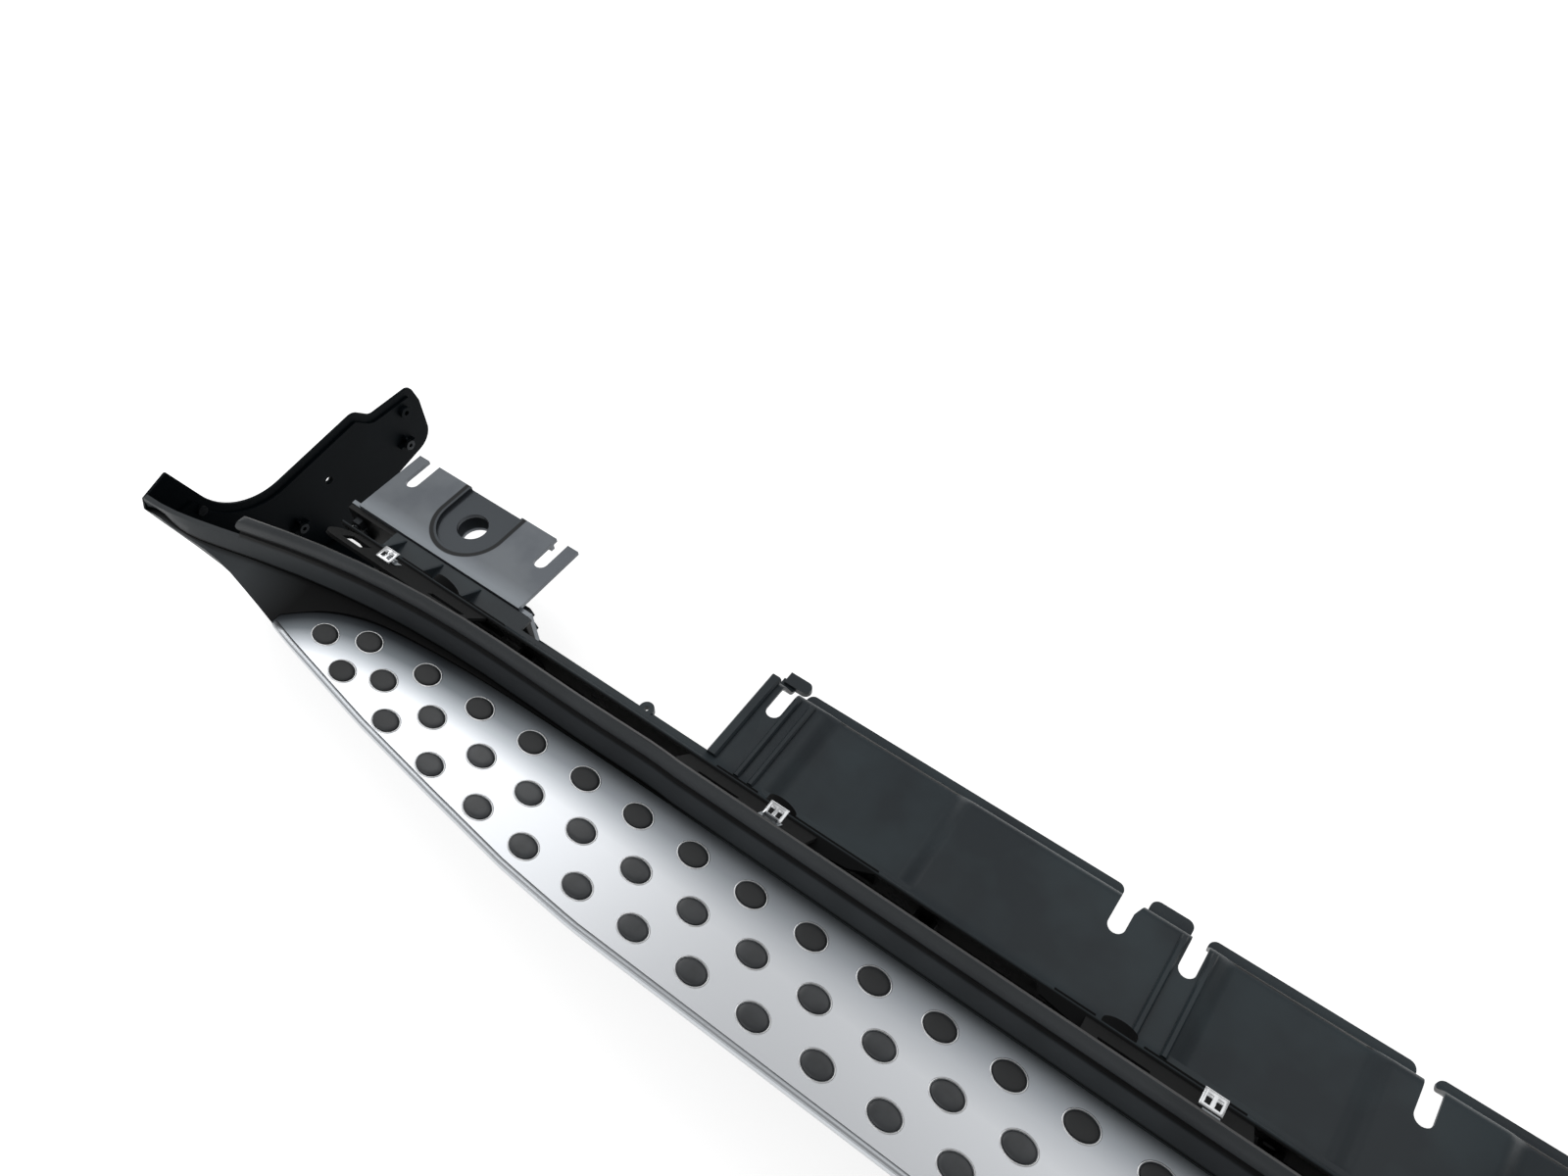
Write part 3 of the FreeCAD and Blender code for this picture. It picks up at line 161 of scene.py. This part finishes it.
def worked(tree, operation, first, second=None, third=None):
    """A sum on up to three values; each is a number or an output."""
    node = add(tree, "ShaderNodeMath", {"operation": operation})
    for slot, value in enumerate((first, second, third)):
        if isinstance(value, (int, float)):
            node.inputs[slot].default_value = value
        elif value is not None:
            tree.links.new(value, node.inputs[slot])
    return node.outputs[0]


def span(tree, value, zone, start=0.0, unit=MM):
    """1 where the value lies in a zone counted from start, fading to 0 over the zone's soft distance outside it."""
    low, high, soft = ((start + zone[0]) * unit, (start + zone[1]) * unit, zone[2] * unit)
    rise = add(tree, "ShaderNodeMapRange", inputs={"From Min": low - soft, "From Max": low}, links={"Value": value})
    fall = add(tree, "ShaderNodeMapRange",
               inputs={"From Min": high, "From Max": high + soft, "To Min": 1.0, "To Max": 0.0},
               links={"Value": value})
    return worked(tree, "MULTIPLY", rise.outputs[0], fall.outputs[0])


def at_levels(tree, zone):
    return span(tree, position(tree)[2], zone, TREAD_HEIGHT)


def at_insets(tree, zone):
    return span(tree, position(tree)[1], zone, -BOARD_DEPTH / 2)


def distance_from_end(tree):
    """Distance in metres from the nearer end of the fascia."""
    along = worked(tree, "ABSOLUTE", position(tree)[0])
    return worked(tree, "SUBTRACT", FASCIA_LENGTH / 2 * MM, along)


def rougher(tree, shader, mask, base, more):
    """Adds to the roughness where the mask is 1."""
    tree.links.new(worked(tree, "MULTIPLY_ADD", mask, more, base), shader.inputs["Roughness"])


def tinted(tree, shader, mask, colour):
    """Lays a second colour over the base colour where the mask is 1."""
    mix = add(tree, "ShaderNodeMix", {"data_type": "RGBA"}, links={"Factor": mask})
    base = shader.inputs["Base Color"]
    tree.links.new(base.links[0].from_socket, mix.inputs[6])
    mix.inputs[7].default_value = linear(colour)
    tree.links.new(mix.outputs[2], base)


def measured(tree, name):
    """A distance in millimetres that a piece carries on its vertices."""
    return add(tree, "ShaderNodeAttribute", {"attribute_name": name}).outputs["Fac"]


# Moulded polypropylene, unpainted, from a finely grained tool: a soft dark grey sheen, never a sharp
# reflection. Painted shade makes it almost black in the groove along the foot, in the cove under the seal and on
# the deck beside the tread.
fascia_plastic, tree, shader = start_material("moulded_polypropylene_fine_grain", "#3a3e41", 0.46, gloss=0.18)
patchy(tree, shader, 160.0, "#373a3d", "#3e4245")
grain(tree, shader, 1.1, 0.012)
# painted shade in the cove under the seal
tinted(tree, shader, at_levels(tree, FASCIA_COVE_LEVELS), "#040506")
above = measured(tree, "above_foot")
# painted shade in the groove along the foot
tinted(tree, shader, span(tree, above, FOOT_GROOVE_HEIGHTS, unit=1.0), "#040506")
# painted shade on the deck beside the tread, which is also rougher there
deck = worked(tree, "MULTIPLY", span(tree, distance_from_end(tree), DECK_ENDS),
              span(tree, above, DECK_HEIGHTS, unit=1.0))
tinted(tree, shader, deck, "#08090a")
rougher(tree, shader, deck, 0.46, 0.22)

# Extruded EPDM rubber: matt, a little lighter where it was wiped; painted shade darkens its cove and behind its lip.
seal_rubber, tree, shader = start_material("extruded_epdm_rubber", "#34383b", 0.52, gloss=0.4)
patchy(tree, shader, 90.0, "#313538", "#383c3f")
grain(tree, shader, 0.9, 0.01)
# painted shade inside the seal's cove
tinted(tree, shader, at_levels(tree, SEAL_COVE_LEVELS), "#040506")
# painted shade behind the seal's lip, in place of the highlight on its back edge
tinted(tree, shader, span(tree, measured(tree, "past_band"), SEAL_LIP_PAST_BAND, unit=1.0), "#060708")

# Aluminium sheet, pressed, blasted and clear anodised: bright satin with a very fine tooth. Beside the fascia
# the satin is painted grey: a painted reflection of the dark moulding above it, darkest near the ends.
tread_aluminium, tree, shader = start_material("pressed_anodised_aluminium", "#e8ebef", 0.36, metallic=1.0)
grain(tree, shader, 1.4, 0.004)
from_end = distance_from_end(tree)
edge_curve = add(tree, "ShaderNodeFloatCurve", links={"Value": worked(tree, "DIVIDE", from_end, TAPER_LENGTH * MM)})
line = edge_curve.mapping.curves[0]
line.points[0].location = (0.0, 0.0)
line.points[1].location = (1.0, INNER_EDGE[-1][1] / BOARD_DEPTH)
for end, inset in INNER_EDGE[:-1]:
    line.points.new(end / TAPER_LENGTH, inset / BOARD_DEPTH)
edge_curve.mapping.update()
edge_inset = worked(tree, "MULTIPLY", edge_curve.outputs[0], BOARD_DEPTH * MM)
inset_now = worked(tree, "ADD", position(tree)[1], BOARD_DEPTH / 2 * MM)
from_fascia = worked(tree, "DIVIDE", worked(tree, "SUBTRACT", edge_inset, inset_now), MM)
# how far across the painted reflection of the fascia a point lies
painted_reflection_share = worked(tree, "DIVIDE", from_fascia, PAINTED_REFLECTION_WIDTH)
at_end = colour_ramp(tree, painted_reflection_share, [(0.0, "#16181a"), (0.10, "#2b2e31"), (0.30, "#62676b"), (0.50, "#a9aeb3"),
                                        (0.72, "#e8ebef")])
in_middle = colour_ramp(tree, painted_reflection_share, [(0.0, "#6b7074"), (0.13, "#8d9297"), (0.32, "#a9aeb4"),
                                           (0.55, "#cdd1d6"), (0.85, "#e8ebef")])
towards_middle = add(tree, "ShaderNodeMapRange", inputs={"From Min": 0.3, "From Max": 0.68},
                     links={"Value": from_end})
blend = add(tree, "ShaderNodeMix", {"data_type": "RGBA"}, links={"Factor": towards_middle.outputs[0]})
tree.links.new(at_end, blend.inputs[6])
tree.links.new(in_middle, blend.inputs[7])
tree.links.new(blend.outputs[2], shader.inputs["Base Color"])

# The same sheet where the press rolled an edge: smoother and brighter.
rolled_aluminium, tree, shader = start_material("rolled_aluminium_edge", "#f4f5f6", 0.3, metallic=1.0)

# Along the outer edge the sheet is rolled over a wheel: satin; its tone, greyer than the tread, is painted shade.
lip_aluminium, tree, shader = start_material("rolled_aluminium_lip", "#c4c8cc", 0.34, metallic=1.0)
grain(tree, shader, 1.4, 0.003)

# Moulded rubber studs, blue-black with a slightly worn, paler crown. The row by the fascia and those by the ends
# carry a painted shade: darker, and duller.
stud_rubber, tree, shader = start_material("moulded_stud_rubber", "#272b2f", 0.4, gloss=0.8)
patchy(tree, shader, 14.0, "#23272b", "#2f3337")
grain(tree, shader, 0.8, 0.02)
# painted shade on the studs by the fascia and near the ends
painted_stud_shade = worked(tree, "MAXIMUM", at_insets(tree, DARK_STUD_INSETS),
                      span(tree, distance_from_end(tree), DARK_STUD_ENDS))
tinted(tree, shader, painted_stud_shade, "#101417")
rougher(tree, shader, painted_stud_shade, 0.4, 0.2)

# Glass-filled nylon, moulded: blue-black with a slightly shiny skin. Painted shade darkens the crease before the
# back flange and the wall and tabs behind the seal.
carrier_nylon, tree, shader = start_material("moulded_glass_filled_nylon", "#363f43", 0.4, gloss=0.3)
patchy(tree, shader, 70.0, "#32393e", "#3a4449")
grain(tree, shader, 2.2, 0.02)
# painted shade in the crease before the back flange
crease = worked(tree, "MULTIPLY", at_insets(tree, CREASE_INSETS), at_levels(tree, CREASE_LEVELS))
tinted(tree, shader, crease, "#0b0f11")
# painted shade on the wall and tabs behind the seal
wall = worked(tree, "MULTIPLY", at_insets(tree, WALL_INSETS), at_levels(tree, WALL_LEVELS))
tabs = worked(tree, "MULTIPLY", at_insets(tree, TAB_INSETS), at_levels(tree, TAB_LEVELS))
behind_seal = worked(tree, "MAXIMUM", tabs, wall)
tinted(tree, shader, behind_seal, "#050708")
rougher(tree, shader, behind_seal, 0.4, 0.5)

# The end caps are the same nylon with a finer, duller tool finish: almost black.
cap_nylon, tree, shader = start_material("moulded_nylon_fine", "#0a1014", 0.5, gloss=0.06)
patchy(tree, shader, 60.0, "#080e12", "#0d1317")
grain(tree, shader, 1.6, 0.012)

# Pressed steel sheet under a satin grey dip coat: broad soft highlights and a faint orange peel. A painted
# highlight makes it paler by the folded edge, and painted shade darkens the sunk pad and, most, the joggle round it.
bracket_coat, tree, shader = start_material("dip_coated_steel_sheet", "#696e74", 0.36, metallic=0.5)
patchy(tree, shader, 45.0, "#63686e", "#6f7479")
grain(tree, shader, 3.0, 0.01)
along, across = position(tree)[:2]
beside = worked(tree, "SUBTRACT", worked(tree, "ABSOLUTE", along), PAD_FROM_MIDDLE * MM)
pad_depth = (PAD_INSET - BOARD_DEPTH / 2) * MM
below = worked(tree, "MINIMUM", worked(tree, "SUBTRACT", across, pad_depth), 0.0)
reach = worked(tree, "SQRT", worked(tree, "ADD", worked(tree, "MULTIPLY", beside, beside),
                                    worked(tree, "MULTIPLY", below, below)))
top = at_levels(tree, BRACKET_TOP_LEVELS)
# painted highlight along the folded edge
tinted(tree, shader, at_insets(tree, BRACKET_FOLD_INSETS), "#868c92")
# painted shade on the sunk pad
tinted(tree, shader, worked(tree, "MULTIPLY", span(tree, reach, PAD_REACH), top), "#41464b")
# painted shade in the joggle round the sunk pad
tinted(tree, shader, worked(tree, "MULTIPLY", span(tree, reach, JOGGLE_REACH), top), "#17191b")

# Black dip coat on the beam and its hangers.
beam_coat, tree, shader = start_material("black_dip_coated_steel", "#141516", 0.5, gloss=0.3)
grain(tree, shader, 2.0, 0.015)

# Zinc-plated spring steel, the lower folds of the clips: slightly uneven metal, dulled by its passivation.
zinc_plate, tree, shader = start_material("zinc_plated_steel", "#8e9397", 0.36, metallic=1.0)
patchy(tree, shader, 5.0, "#83888c", "#9a9fa3")

# Screws, bolts and the small clips inside the ends are black phosphated steel, nearly lost against the nylon.
black_steel, tree, shader = start_material("black_phosphated_steel", "#2a2d30", 0.45, metallic=0.8)
patchy(tree, shader, 4.0, "#25282b", "#313437")

# Bright rolled spring steel, the upper leaves of the clips.
clip_steel, tree, shader = start_material("rolled_spring_steel", "#eceef0", 0.26, metallic=0.85)

# Each node's material, rounded edge in millimetres, and the angle in degrees up to which its faces shade as one.
FINISH = {
    "outer_trim": (fascia_plastic, 0.0, 34), "tread_plate": (tread_aluminium, 0.35, 30),
    "stud_mat": (stud_rubber, 0.0, 30), "sill_seal": (seal_rubber, 0.0, 50), "step_beam": (beam_coat, 1.5, 30),
    "carrier_shield": (carrier_nylon, 0.5, 25), "spring_clips": (zinc_plate, 0.2, 30),
    "carrier_screws": (black_steel, 0.4, 30), "hanger": (beam_coat, 0.8, 30), "bracket": (bracket_coat, 0.6, 30),
    "bracket_stay": (bracket_coat, 0.6, 30), "bracket_bolts": (black_steel, 0.4, 30),
    "bracket_washers": (black_steel, 0.25, 30), "bracket_nuts": (black_steel, 0.4, 30),
    "end_cap": (cap_nylon, 0.6, 30), "end_liner": (cap_nylon, 0.4, 30), "end_screws": (black_steel, 0.3, 30),
    "end_clips": (black_steel, 0.3, 30)}


def finish_of(node):
    """A node's line in the table; both ends share one."""
    for side in ("front_", "rear_"):
        if node.startswith(side):
            return FINISH[node[len(side):]]
    return FINISH[node]


def bake(piece):
    """Turns a piece with modifiers into its plain final mesh."""
    graph = bpy.context.evaluated_depsgraph_get()
    final = bpy.data.meshes.new_from_object(piece.evaluated_get(graph))
    piece.modifiers.clear()
    piece.data = final
    return piece


def between(table, x):
    """A value read off a table of (x, value) pairs along straight runs."""
    for (x0, y0), (x1, y1) in zip(table, table[1:]):
        if x <= x1:
            return y0 + (y1 - y0) * max(0.0, x - x0) / (x1 - x0)
    return table[-1][1]


def sweep_shift(end):
    """How far the fascia has swept outwards at this distance from its nearer end."""
    run = max(0.0, SWEEP_START - end)
    turn = math.radians(SWEEP_ANGLE)
    if run <= SWEEP_RADIUS * math.sin(turn):
        return SWEEP_RADIUS - math.sqrt(SWEEP_RADIUS ** 2 - run ** 2)
    return SWEEP_RADIUS * (1 - math.cos(turn)) + (run - SWEEP_RADIUS * math.sin(turn)) * math.tan(turn)


def nearer_end(point):
    """Distance of a point from the nearer end of the fascia, in millimetres."""
    return FASCIA_LENGTH / 2 - abs(point.x) / MM


def above_foot(point):
    """Height of a point over the fascia's foot line, in millimetres."""
    end = nearer_end(point)
    foot = FOOT_LEVEL + FOOT_RISE * (max(0.0, SWEEP_START - end) / SWEEP_START) ** FOOT_POWER
    return point.z / MM - TREAD_HEIGHT - foot


def past_band(point):
    """Distance of a point inwards from the fascia's band, in millimetres."""
    end = nearer_end(point)
    band = max(BAND_INSET - BAND_SWEEP_SHARE * sweep_shift(end), between(OUTER_EDGE, end) + BAND_FROM_EDGE)
    return point.y / MM + BOARD_DEPTH / 2 - band


# which distance a piece carries for its material; corners nearer than this many metres are merged, and faces
# that meet at less than this many degrees become one
MEASURES = {"outer_trim": above_foot, "sill_seal": past_band}
MERGE_DISTANCE = 0.00001
FLAT_ANGLE = 0.05


def marked(piece, measure):
    """Writes a distance on the piece's vertices, which its material reads by the same name."""
    layer = piece.data.attributes.new(measure.__name__, "FLOAT", "POINT")
    layer.data.foreach_set("value", [measure(vertex.co) for vertex in piece.data.vertices])


def dressed(node, material, width_mm, shade_angle):
    """A copy of a CAD node with merged corners and rounded edges, which stands for the node."""
    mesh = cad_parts[node].data.copy()
    mesh.name = node + "_finished"
    bm = bmesh.new()
    bm.from_mesh(mesh)
    bmesh.ops.remove_doubles(bm, verts=bm.verts, dist=MERGE_DISTANCE)
    bmesh.ops.dissolve_limit(bm, angle_limit=math.radians(FLAT_ANGLE), verts=bm.verts, edges=bm.edges)
    for edge in bm.edges:
        edge.smooth = edge.is_manifold and edge.calc_face_angle(0) < math.radians(shade_angle)
    for face in bm.faces:
        face.smooth = True
        face.material_index = 0
    bm.to_mesh(mesh)
    bm.free()
    mesh.materials.clear()
    mesh.materials.append(material)
    piece = bpy.data.objects.new(node + "_finished", mesh)
    bpy.context.scene.collection.objects.link(piece)
    if width_mm:
        bevel = piece.modifiers.new("edge_radius", "BEVEL")
        bevel.width = width_mm * MM
        bevel.segments = 2
        bevel.limit_method = "ANGLE"
        bevel.angle_limit = math.radians(shade_angle)
        bevel.harden_normals = True
        bake(piece)
    if node in MEASURES:
        marked(piece, MEASURES[node])
    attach(piece, "root")
    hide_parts(node)


for name in sorted(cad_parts):
    dressed(name, *finish_of(name))


def new_piece(name, bm, material):
    """An object of one smooth mesh and one material."""
    mesh = bpy.data.meshes.new(name)
    bm.to_mesh(mesh)
    bm.free()
    mesh.materials.append(material)
    for polygon in mesh.polygons:
        polygon.use_smooth = True
    piece = bpy.data.objects.new(name, mesh)
    bpy.context.scene.collection.objects.link(piece)
    return piece


def stud_places():
    """The (end, inset) of each stud: those in the two tapers, then the three straight rows."""
    places = list(END_STUDS) + [(FASCIA_LENGTH - end, inset) for end, inset in END_STUDS]
    for start, inset in STUD_ROWS:
        count = int(round((FASCIA_LENGTH - 2 * start) / STUD_PITCH)) + 1
        places += [(start + k * STUD_PITCH, inset) for k in range(count)]
    return places


def oval_shape(profile_mm, steps, closed):
    """Rings round a stud's oval from (distance outside it, height) points; closed joins the last to the first."""
    bm = bmesh.new()
    rings = []
    for outside, height in profile_mm:
        if outside <= -STUD_WIDTH / 2:  # past the middle: the crown's top point
            rings.append([bm.verts.new((0, 0, height * MM))])
            continue
        ring = []
        for k in range(steps):
            angle = 2 * math.pi * k / steps
            ring.append(bm.verts.new(((STUD_LENGTH / 2 + outside) * MM * math.cos(angle),
                                      (STUD_WIDTH / 2 + outside) * MM * math.sin(angle), height * MM)))
        rings.append(ring)
    pairs = list(zip(rings, rings[1:])) + ([(rings[-1], rings[0])] if closed else [])
    for low, high in pairs:
        for k in range(steps):
            following = (k + 1) % steps
            if len(high) == 1:
                bm.faces.new((low[k], low[following], high[0]))
            else:
                bm.faces.new((low[k], low[following], high[following], high[k]))
    bmesh.ops.recalc_face_normals(bm, faces=bm.faces)
    return bm


def repeated(name, points, shape_bm, material, size_name, size):
    """Geometry Nodes put one shape on each point, scaled by a named size, as one plain mesh."""
    shape_mesh = bpy.data.meshes.new(name + "_shape")
    shape_bm.to_mesh(shape_mesh)
    shape_bm.free()
    for polygon in shape_mesh.polygons:
        polygon.use_smooth = True
    shape = bpy.data.objects.new(name + "_shape", shape_mesh)
    cloud = bpy.data.meshes.new(name)
    cloud.from_pydata([tuple(p) for p in points], [], [])
    piece = bpy.data.objects.new(name, cloud)
    bpy.context.scene.collection.objects.link(piece)
    tree = bpy.data.node_groups.new(name + "_layout", "GeometryNodeTree")
    tree.interface.new_socket("Geometry", in_out="INPUT", socket_type="NodeSocketGeometry")
    tree.interface.new_socket("Shape", in_out="INPUT", socket_type="NodeSocketObject")
    scale = tree.interface.new_socket(size_name, in_out="INPUT", socket_type="NodeSocketFloat")
    scale.default_value = 1.0
    tree.interface.new_socket("Geometry", in_out="OUTPUT", socket_type="NodeSocketGeometry")
    entry = add(tree, "NodeGroupInput")
    on_points = add(tree, "GeometryNodeMeshToPoints", links={"Mesh": entry.outputs["Geometry"]})
    info = add(tree, "GeometryNodeObjectInfo", links={"Object": entry.outputs["Shape"]})
    copies = add(tree, "GeometryNodeInstanceOnPoints",
                 links={"Points": on_points.outputs[0], "Instance": info.outputs["Geometry"],
                        "Scale": entry.outputs[size_name]})
    real = add(tree, "GeometryNodeRealizeInstances", links={"Geometry": copies.outputs[0]})
    dress = add(tree, "GeometryNodeSetMaterial", inputs={"Material": material},
                links={"Geometry": real.outputs[0]})
    add(tree, "NodeGroupOutput", links={"Geometry": dress.outputs[0]})
    modifier = piece.modifiers.new("layout", "NODES")
    modifier.node_group = tree
    for socket in tree.interface.items_tree:
        if socket.in_out == "INPUT" and socket.name == "Shape":
            modifier[socket.identifier] = shape
        if socket.in_out == "INPUT" and socket.name == size_name:
            modifier[socket.identifier] = size
    bake(piece)
    bpy.data.objects.remove(shape)
    return piece


# each stud has a shallow crown, and each hole in the tread a thin rolled edge round it
crown = oval_shape([(0.05, -0.2), (0.0, 1.0), (-0.45, 1.62), (-1.1, 1.86), (-3.2, 2.06), (-5.6, 2.14), (-8.0, 2.16)],
                   28, False)
centres = [place(end, inset, 0) for end, inset in stud_places()]
crowns = repeated("stud_crowns", centres, crown, stud_rubber, "Crown scale", 1.0)
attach(crowns, "root")
rim = oval_shape([(0.6, -0.3), (0.6, 0.15), (0.75, 0.4), (1.0, 0.5), (1.3, 0.4), (1.65, 0.08), (1.7, -0.3)],
                 30, True)
rims = repeated("hole_rims", centres, rim, rolled_aluminium, "Rim scale", 1.0)
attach(rims, "root")


def swept(name, profile, stations, line, material):
    """A closed profile of (inset, level) points carried along a line of stations, capped at both ends."""
    bm = bmesh.new()
    rings = [[bm.verts.new(place(end, line(end) + inset, level)) for inset, level in profile] for end in stations]
    for near, far in zip(rings, rings[1:]):
        for k in range(len(profile)):
            following = (k + 1) % len(profile)
            bm.faces.new((near[k], near[following], far[following], far[k]))
    bm.faces.new(rings[0])
    bm.faces.new(list(reversed(rings[-1])))
    bmesh.ops.recalc_face_normals(bm, faces=bm.faces)
    return new_piece(name, bm, material)


def outer_line(end):
    """The inset of the tread's outer edge, over the whole length."""
    return between(OUTER_EDGE, min(end, FASCIA_LENGTH - end))


# the rolled lip's section: (inset from the outer edge, level) points
LIP_PROFILE = [(-0.7, -8.6), (-0.9, -4.0), (-0.8, -1.2), (-0.3, 0.2), (0.8, 0.75), (2.2, 0.8), (3.4, 0.45),
               (4.2, 0.0), (4.2, -0.6), (0.6, -1.4), (0.4, -8.6)]
LIP_START, LIP_STEP, LIP_STEPS = 166.0, 12.0, 29
LIP_STRAIGHT = TAPER_LENGTH + 4.0
lip_stations = [LIP_START + k * LIP_STEP for k in range(LIP_STEPS)]
lip_stations += [LIP_STRAIGHT] + [FASCIA_LENGTH - end for end in [LIP_STRAIGHT] + lip_stations[::-1]]
lip = swept("tread_lip", LIP_PROFILE, lip_stations, outer_line, lip_aluminium)
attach(lip, "root")


def clip_leaf():
    """The folded upper leaf of a spring clip: a frame with two tongues, turned down along its edges."""
    # its grid lines across and its (depth, height) points along, in millimetres
    across = [-7.4, -4.9, -1.4, 1.4, 4.9, 7.4]
    rows = [(-5.6, -4.2), (-5.7, -0.7), (-5.2, 0.0), (-3.2, 0.0), (3.4, 0.0), (5.2, 0.0), (5.8, -0.6), (5.8, -2.4)]
    bm = bmesh.new()
    grid = [[bm.verts.new((x * MM, y * MM, z * MM)) for x in across] for y, z in rows]
    for r in range(len(rows) - 1):
        for c in range(len(across) - 1):
            if r == 3 and c in (1, 3):  # the two windows
                continue
            bm.faces.new((grid[r][c], grid[r][c + 1], grid[r + 1][c + 1], grid[r + 1][c]))
    for c in (1, 3):
        low = [grid[4][c], grid[4][c + 1]]
        for y, z in ((2.2, 0.5), (1.0, 1.4), (0.3, 1.9)):
            high = [bm.verts.new((vertex.co.x, y * MM, z * MM)) for vertex in low]
            bm.faces.new((low[0], high[0], high[1], low[1]))
            low = high
    bmesh.ops.recalc_face_normals(bm, faces=bm.faces)
    mesh = bpy.data.meshes.new("leaf")
    bm.to_mesh(mesh)
    bm.free()
    leaf = bpy.data.objects.new("leaf", mesh)
    bpy.context.scene.collection.objects.link(leaf)
    sheet = leaf.modifiers.new("sheet", "SOLIDIFY")
    sheet.thickness = 0.7 * MM
    sheet.offset = 0
    soft = leaf.modifiers.new("soft", "BEVEL")
    soft.width = 0.18 * MM
    soft.segments = 1
    bake(leaf)
    bm = bmesh.new()
    bm.from_mesh(leaf.data)
    bpy.data.objects.remove(leaf)
    return bm


leaf_ends = CLIP_ENDS + [FASCIA_LENGTH - end for end in CLIP_ENDS]
leaves = repeated("spring_clip_leaves", [place(end, LEAF_INSET, LEAF_LEVEL) for end in leaf_ends], clip_leaf(),
                  clip_steel, "Leaf scale", 1.0)
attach(leaves, "root")


FLOOR_HALF_SIZE, FLOOR_HEIGHT, FLOOR_GLOW = 6.0, -0.0005, 0.72


def studio_floor():
    """A pale floor: near white to the camera and in reflections, and it keeps the soft shadow."""
    bm = bmesh.new()
    bm.faces.new([bm.verts.new((x * FLOOR_HALF_SIZE, y * FLOOR_HALF_SIZE, FLOOR_HEIGHT))
                  for x, y in ((-1, -1), (1, -1), (1, 1), (-1, 1))])
    material, tree, shader = start_material("matt_white_backdrop_paper", "#f2f2f2", 0.9)
    path = add(tree, "ShaderNodeLightPath")
    seen = worked(tree, "MAXIMUM", path.outputs["Is Camera Ray"], path.outputs["Is Glossy Ray"])
    tree.links.new(worked(tree, "MULTIPLY", seen, FLOOR_GLOW), shader.inputs["Emission Strength"])
    shader.inputs["Emission Color"].default_value = (1, 1, 1, 1)
    new_piece("studio_floor", bm, material)


studio_floor()


def area_light(name, location, target, size_x, size_y, power):
    """A white softbox of a size in metres and a power in watts, turned to its target."""
    data = bpy.data.lights.new(name, "AREA")
    data.shape = "RECTANGLE"
    data.size = size_x
    data.size_y = size_y
    data.energy = power
    light = bpy.data.objects.new(name, data)
    light.location = location
    light.rotation_euler = (Vector(target) - Vector(location)).to_track_quat("-Z", "Y").to_euler()
    bpy.context.scene.collection.objects.link(light)


area_light("front_overhead_softbox", (-1.95, 0.6, 2.2), (-0.6, 0, 0.1), 1.2, 1.3, 8.5)
area_light("overhead_softbox", (0.2, 1.0, 2.3), (0.0, 0, 0.1), 2.0, 1.4, 6.5)
area_light("outer_side_softbox", (-1.1, -2.1, 1.4), (-0.6, 0, 0.1), 2.0, 1.2, 6)
area_light("front_end_softbox", (-2.4, -0.4, 1.4), (-0.7, 0, 0.1), 1.2, 1.6, 4)

# the white surroundings light the part softly and are full white to the camera
WORLD_LIGHT, WORLD_SEEN = 0.34, 1.0
world = bpy.data.worlds.new("studio")
bpy.context.scene.world = world
world.use_nodes = True
tree = world.node_tree
tree.nodes.clear()
path = add(tree, "ShaderNodeLightPath")
strength = add(tree, "ShaderNodeMapRange", inputs={"To Min": WORLD_LIGHT, "To Max": WORLD_SEEN},
               links={"Value": path.outputs["Is Camera Ray"]})
background = add(tree, "ShaderNodeBackground", inputs={"Color": (1, 1, 1, 1)},
                 links={"Strength": strength.outputs[0]})
add(tree, "ShaderNodeOutputWorld", links={"Surface": background.outputs[0]})

# the camera stands over the board's outer edge and looks down across its front half
CAMERA_PLACE = Vector((-0.18905, -0.30864, 0.89580))
CAMERA_RIGHT = Vector((0.81013, 0.58624, -0.00212))
CAMERA_UP = Vector((-0.46777, 0.64859, 0.60043))
LENS_MM, SENSOR_MM, NEAREST_SEEN = 27.0, 36.0, 0.02
camera_data = bpy.data.cameras.new("camera")
camera_data.lens = LENS_MM
camera_data.sensor_width = SENSOR_MM
camera_data.clip_start = NEAREST_SEEN
camera = bpy.data.objects.new("camera", camera_data)
back = CAMERA_RIGHT.cross(CAMERA_UP).normalized()
turn = Matrix((CAMERA_RIGHT, CAMERA_UP, back)).transposed().to_4x4()
camera.matrix_world = Matrix.Translation(CAMERA_PLACE) @ turn
bpy.context.scene.collection.objects.link(camera)
bpy.context.scene.camera = camera
bpy.context.scene.view_settings.view_transform = "Standard"
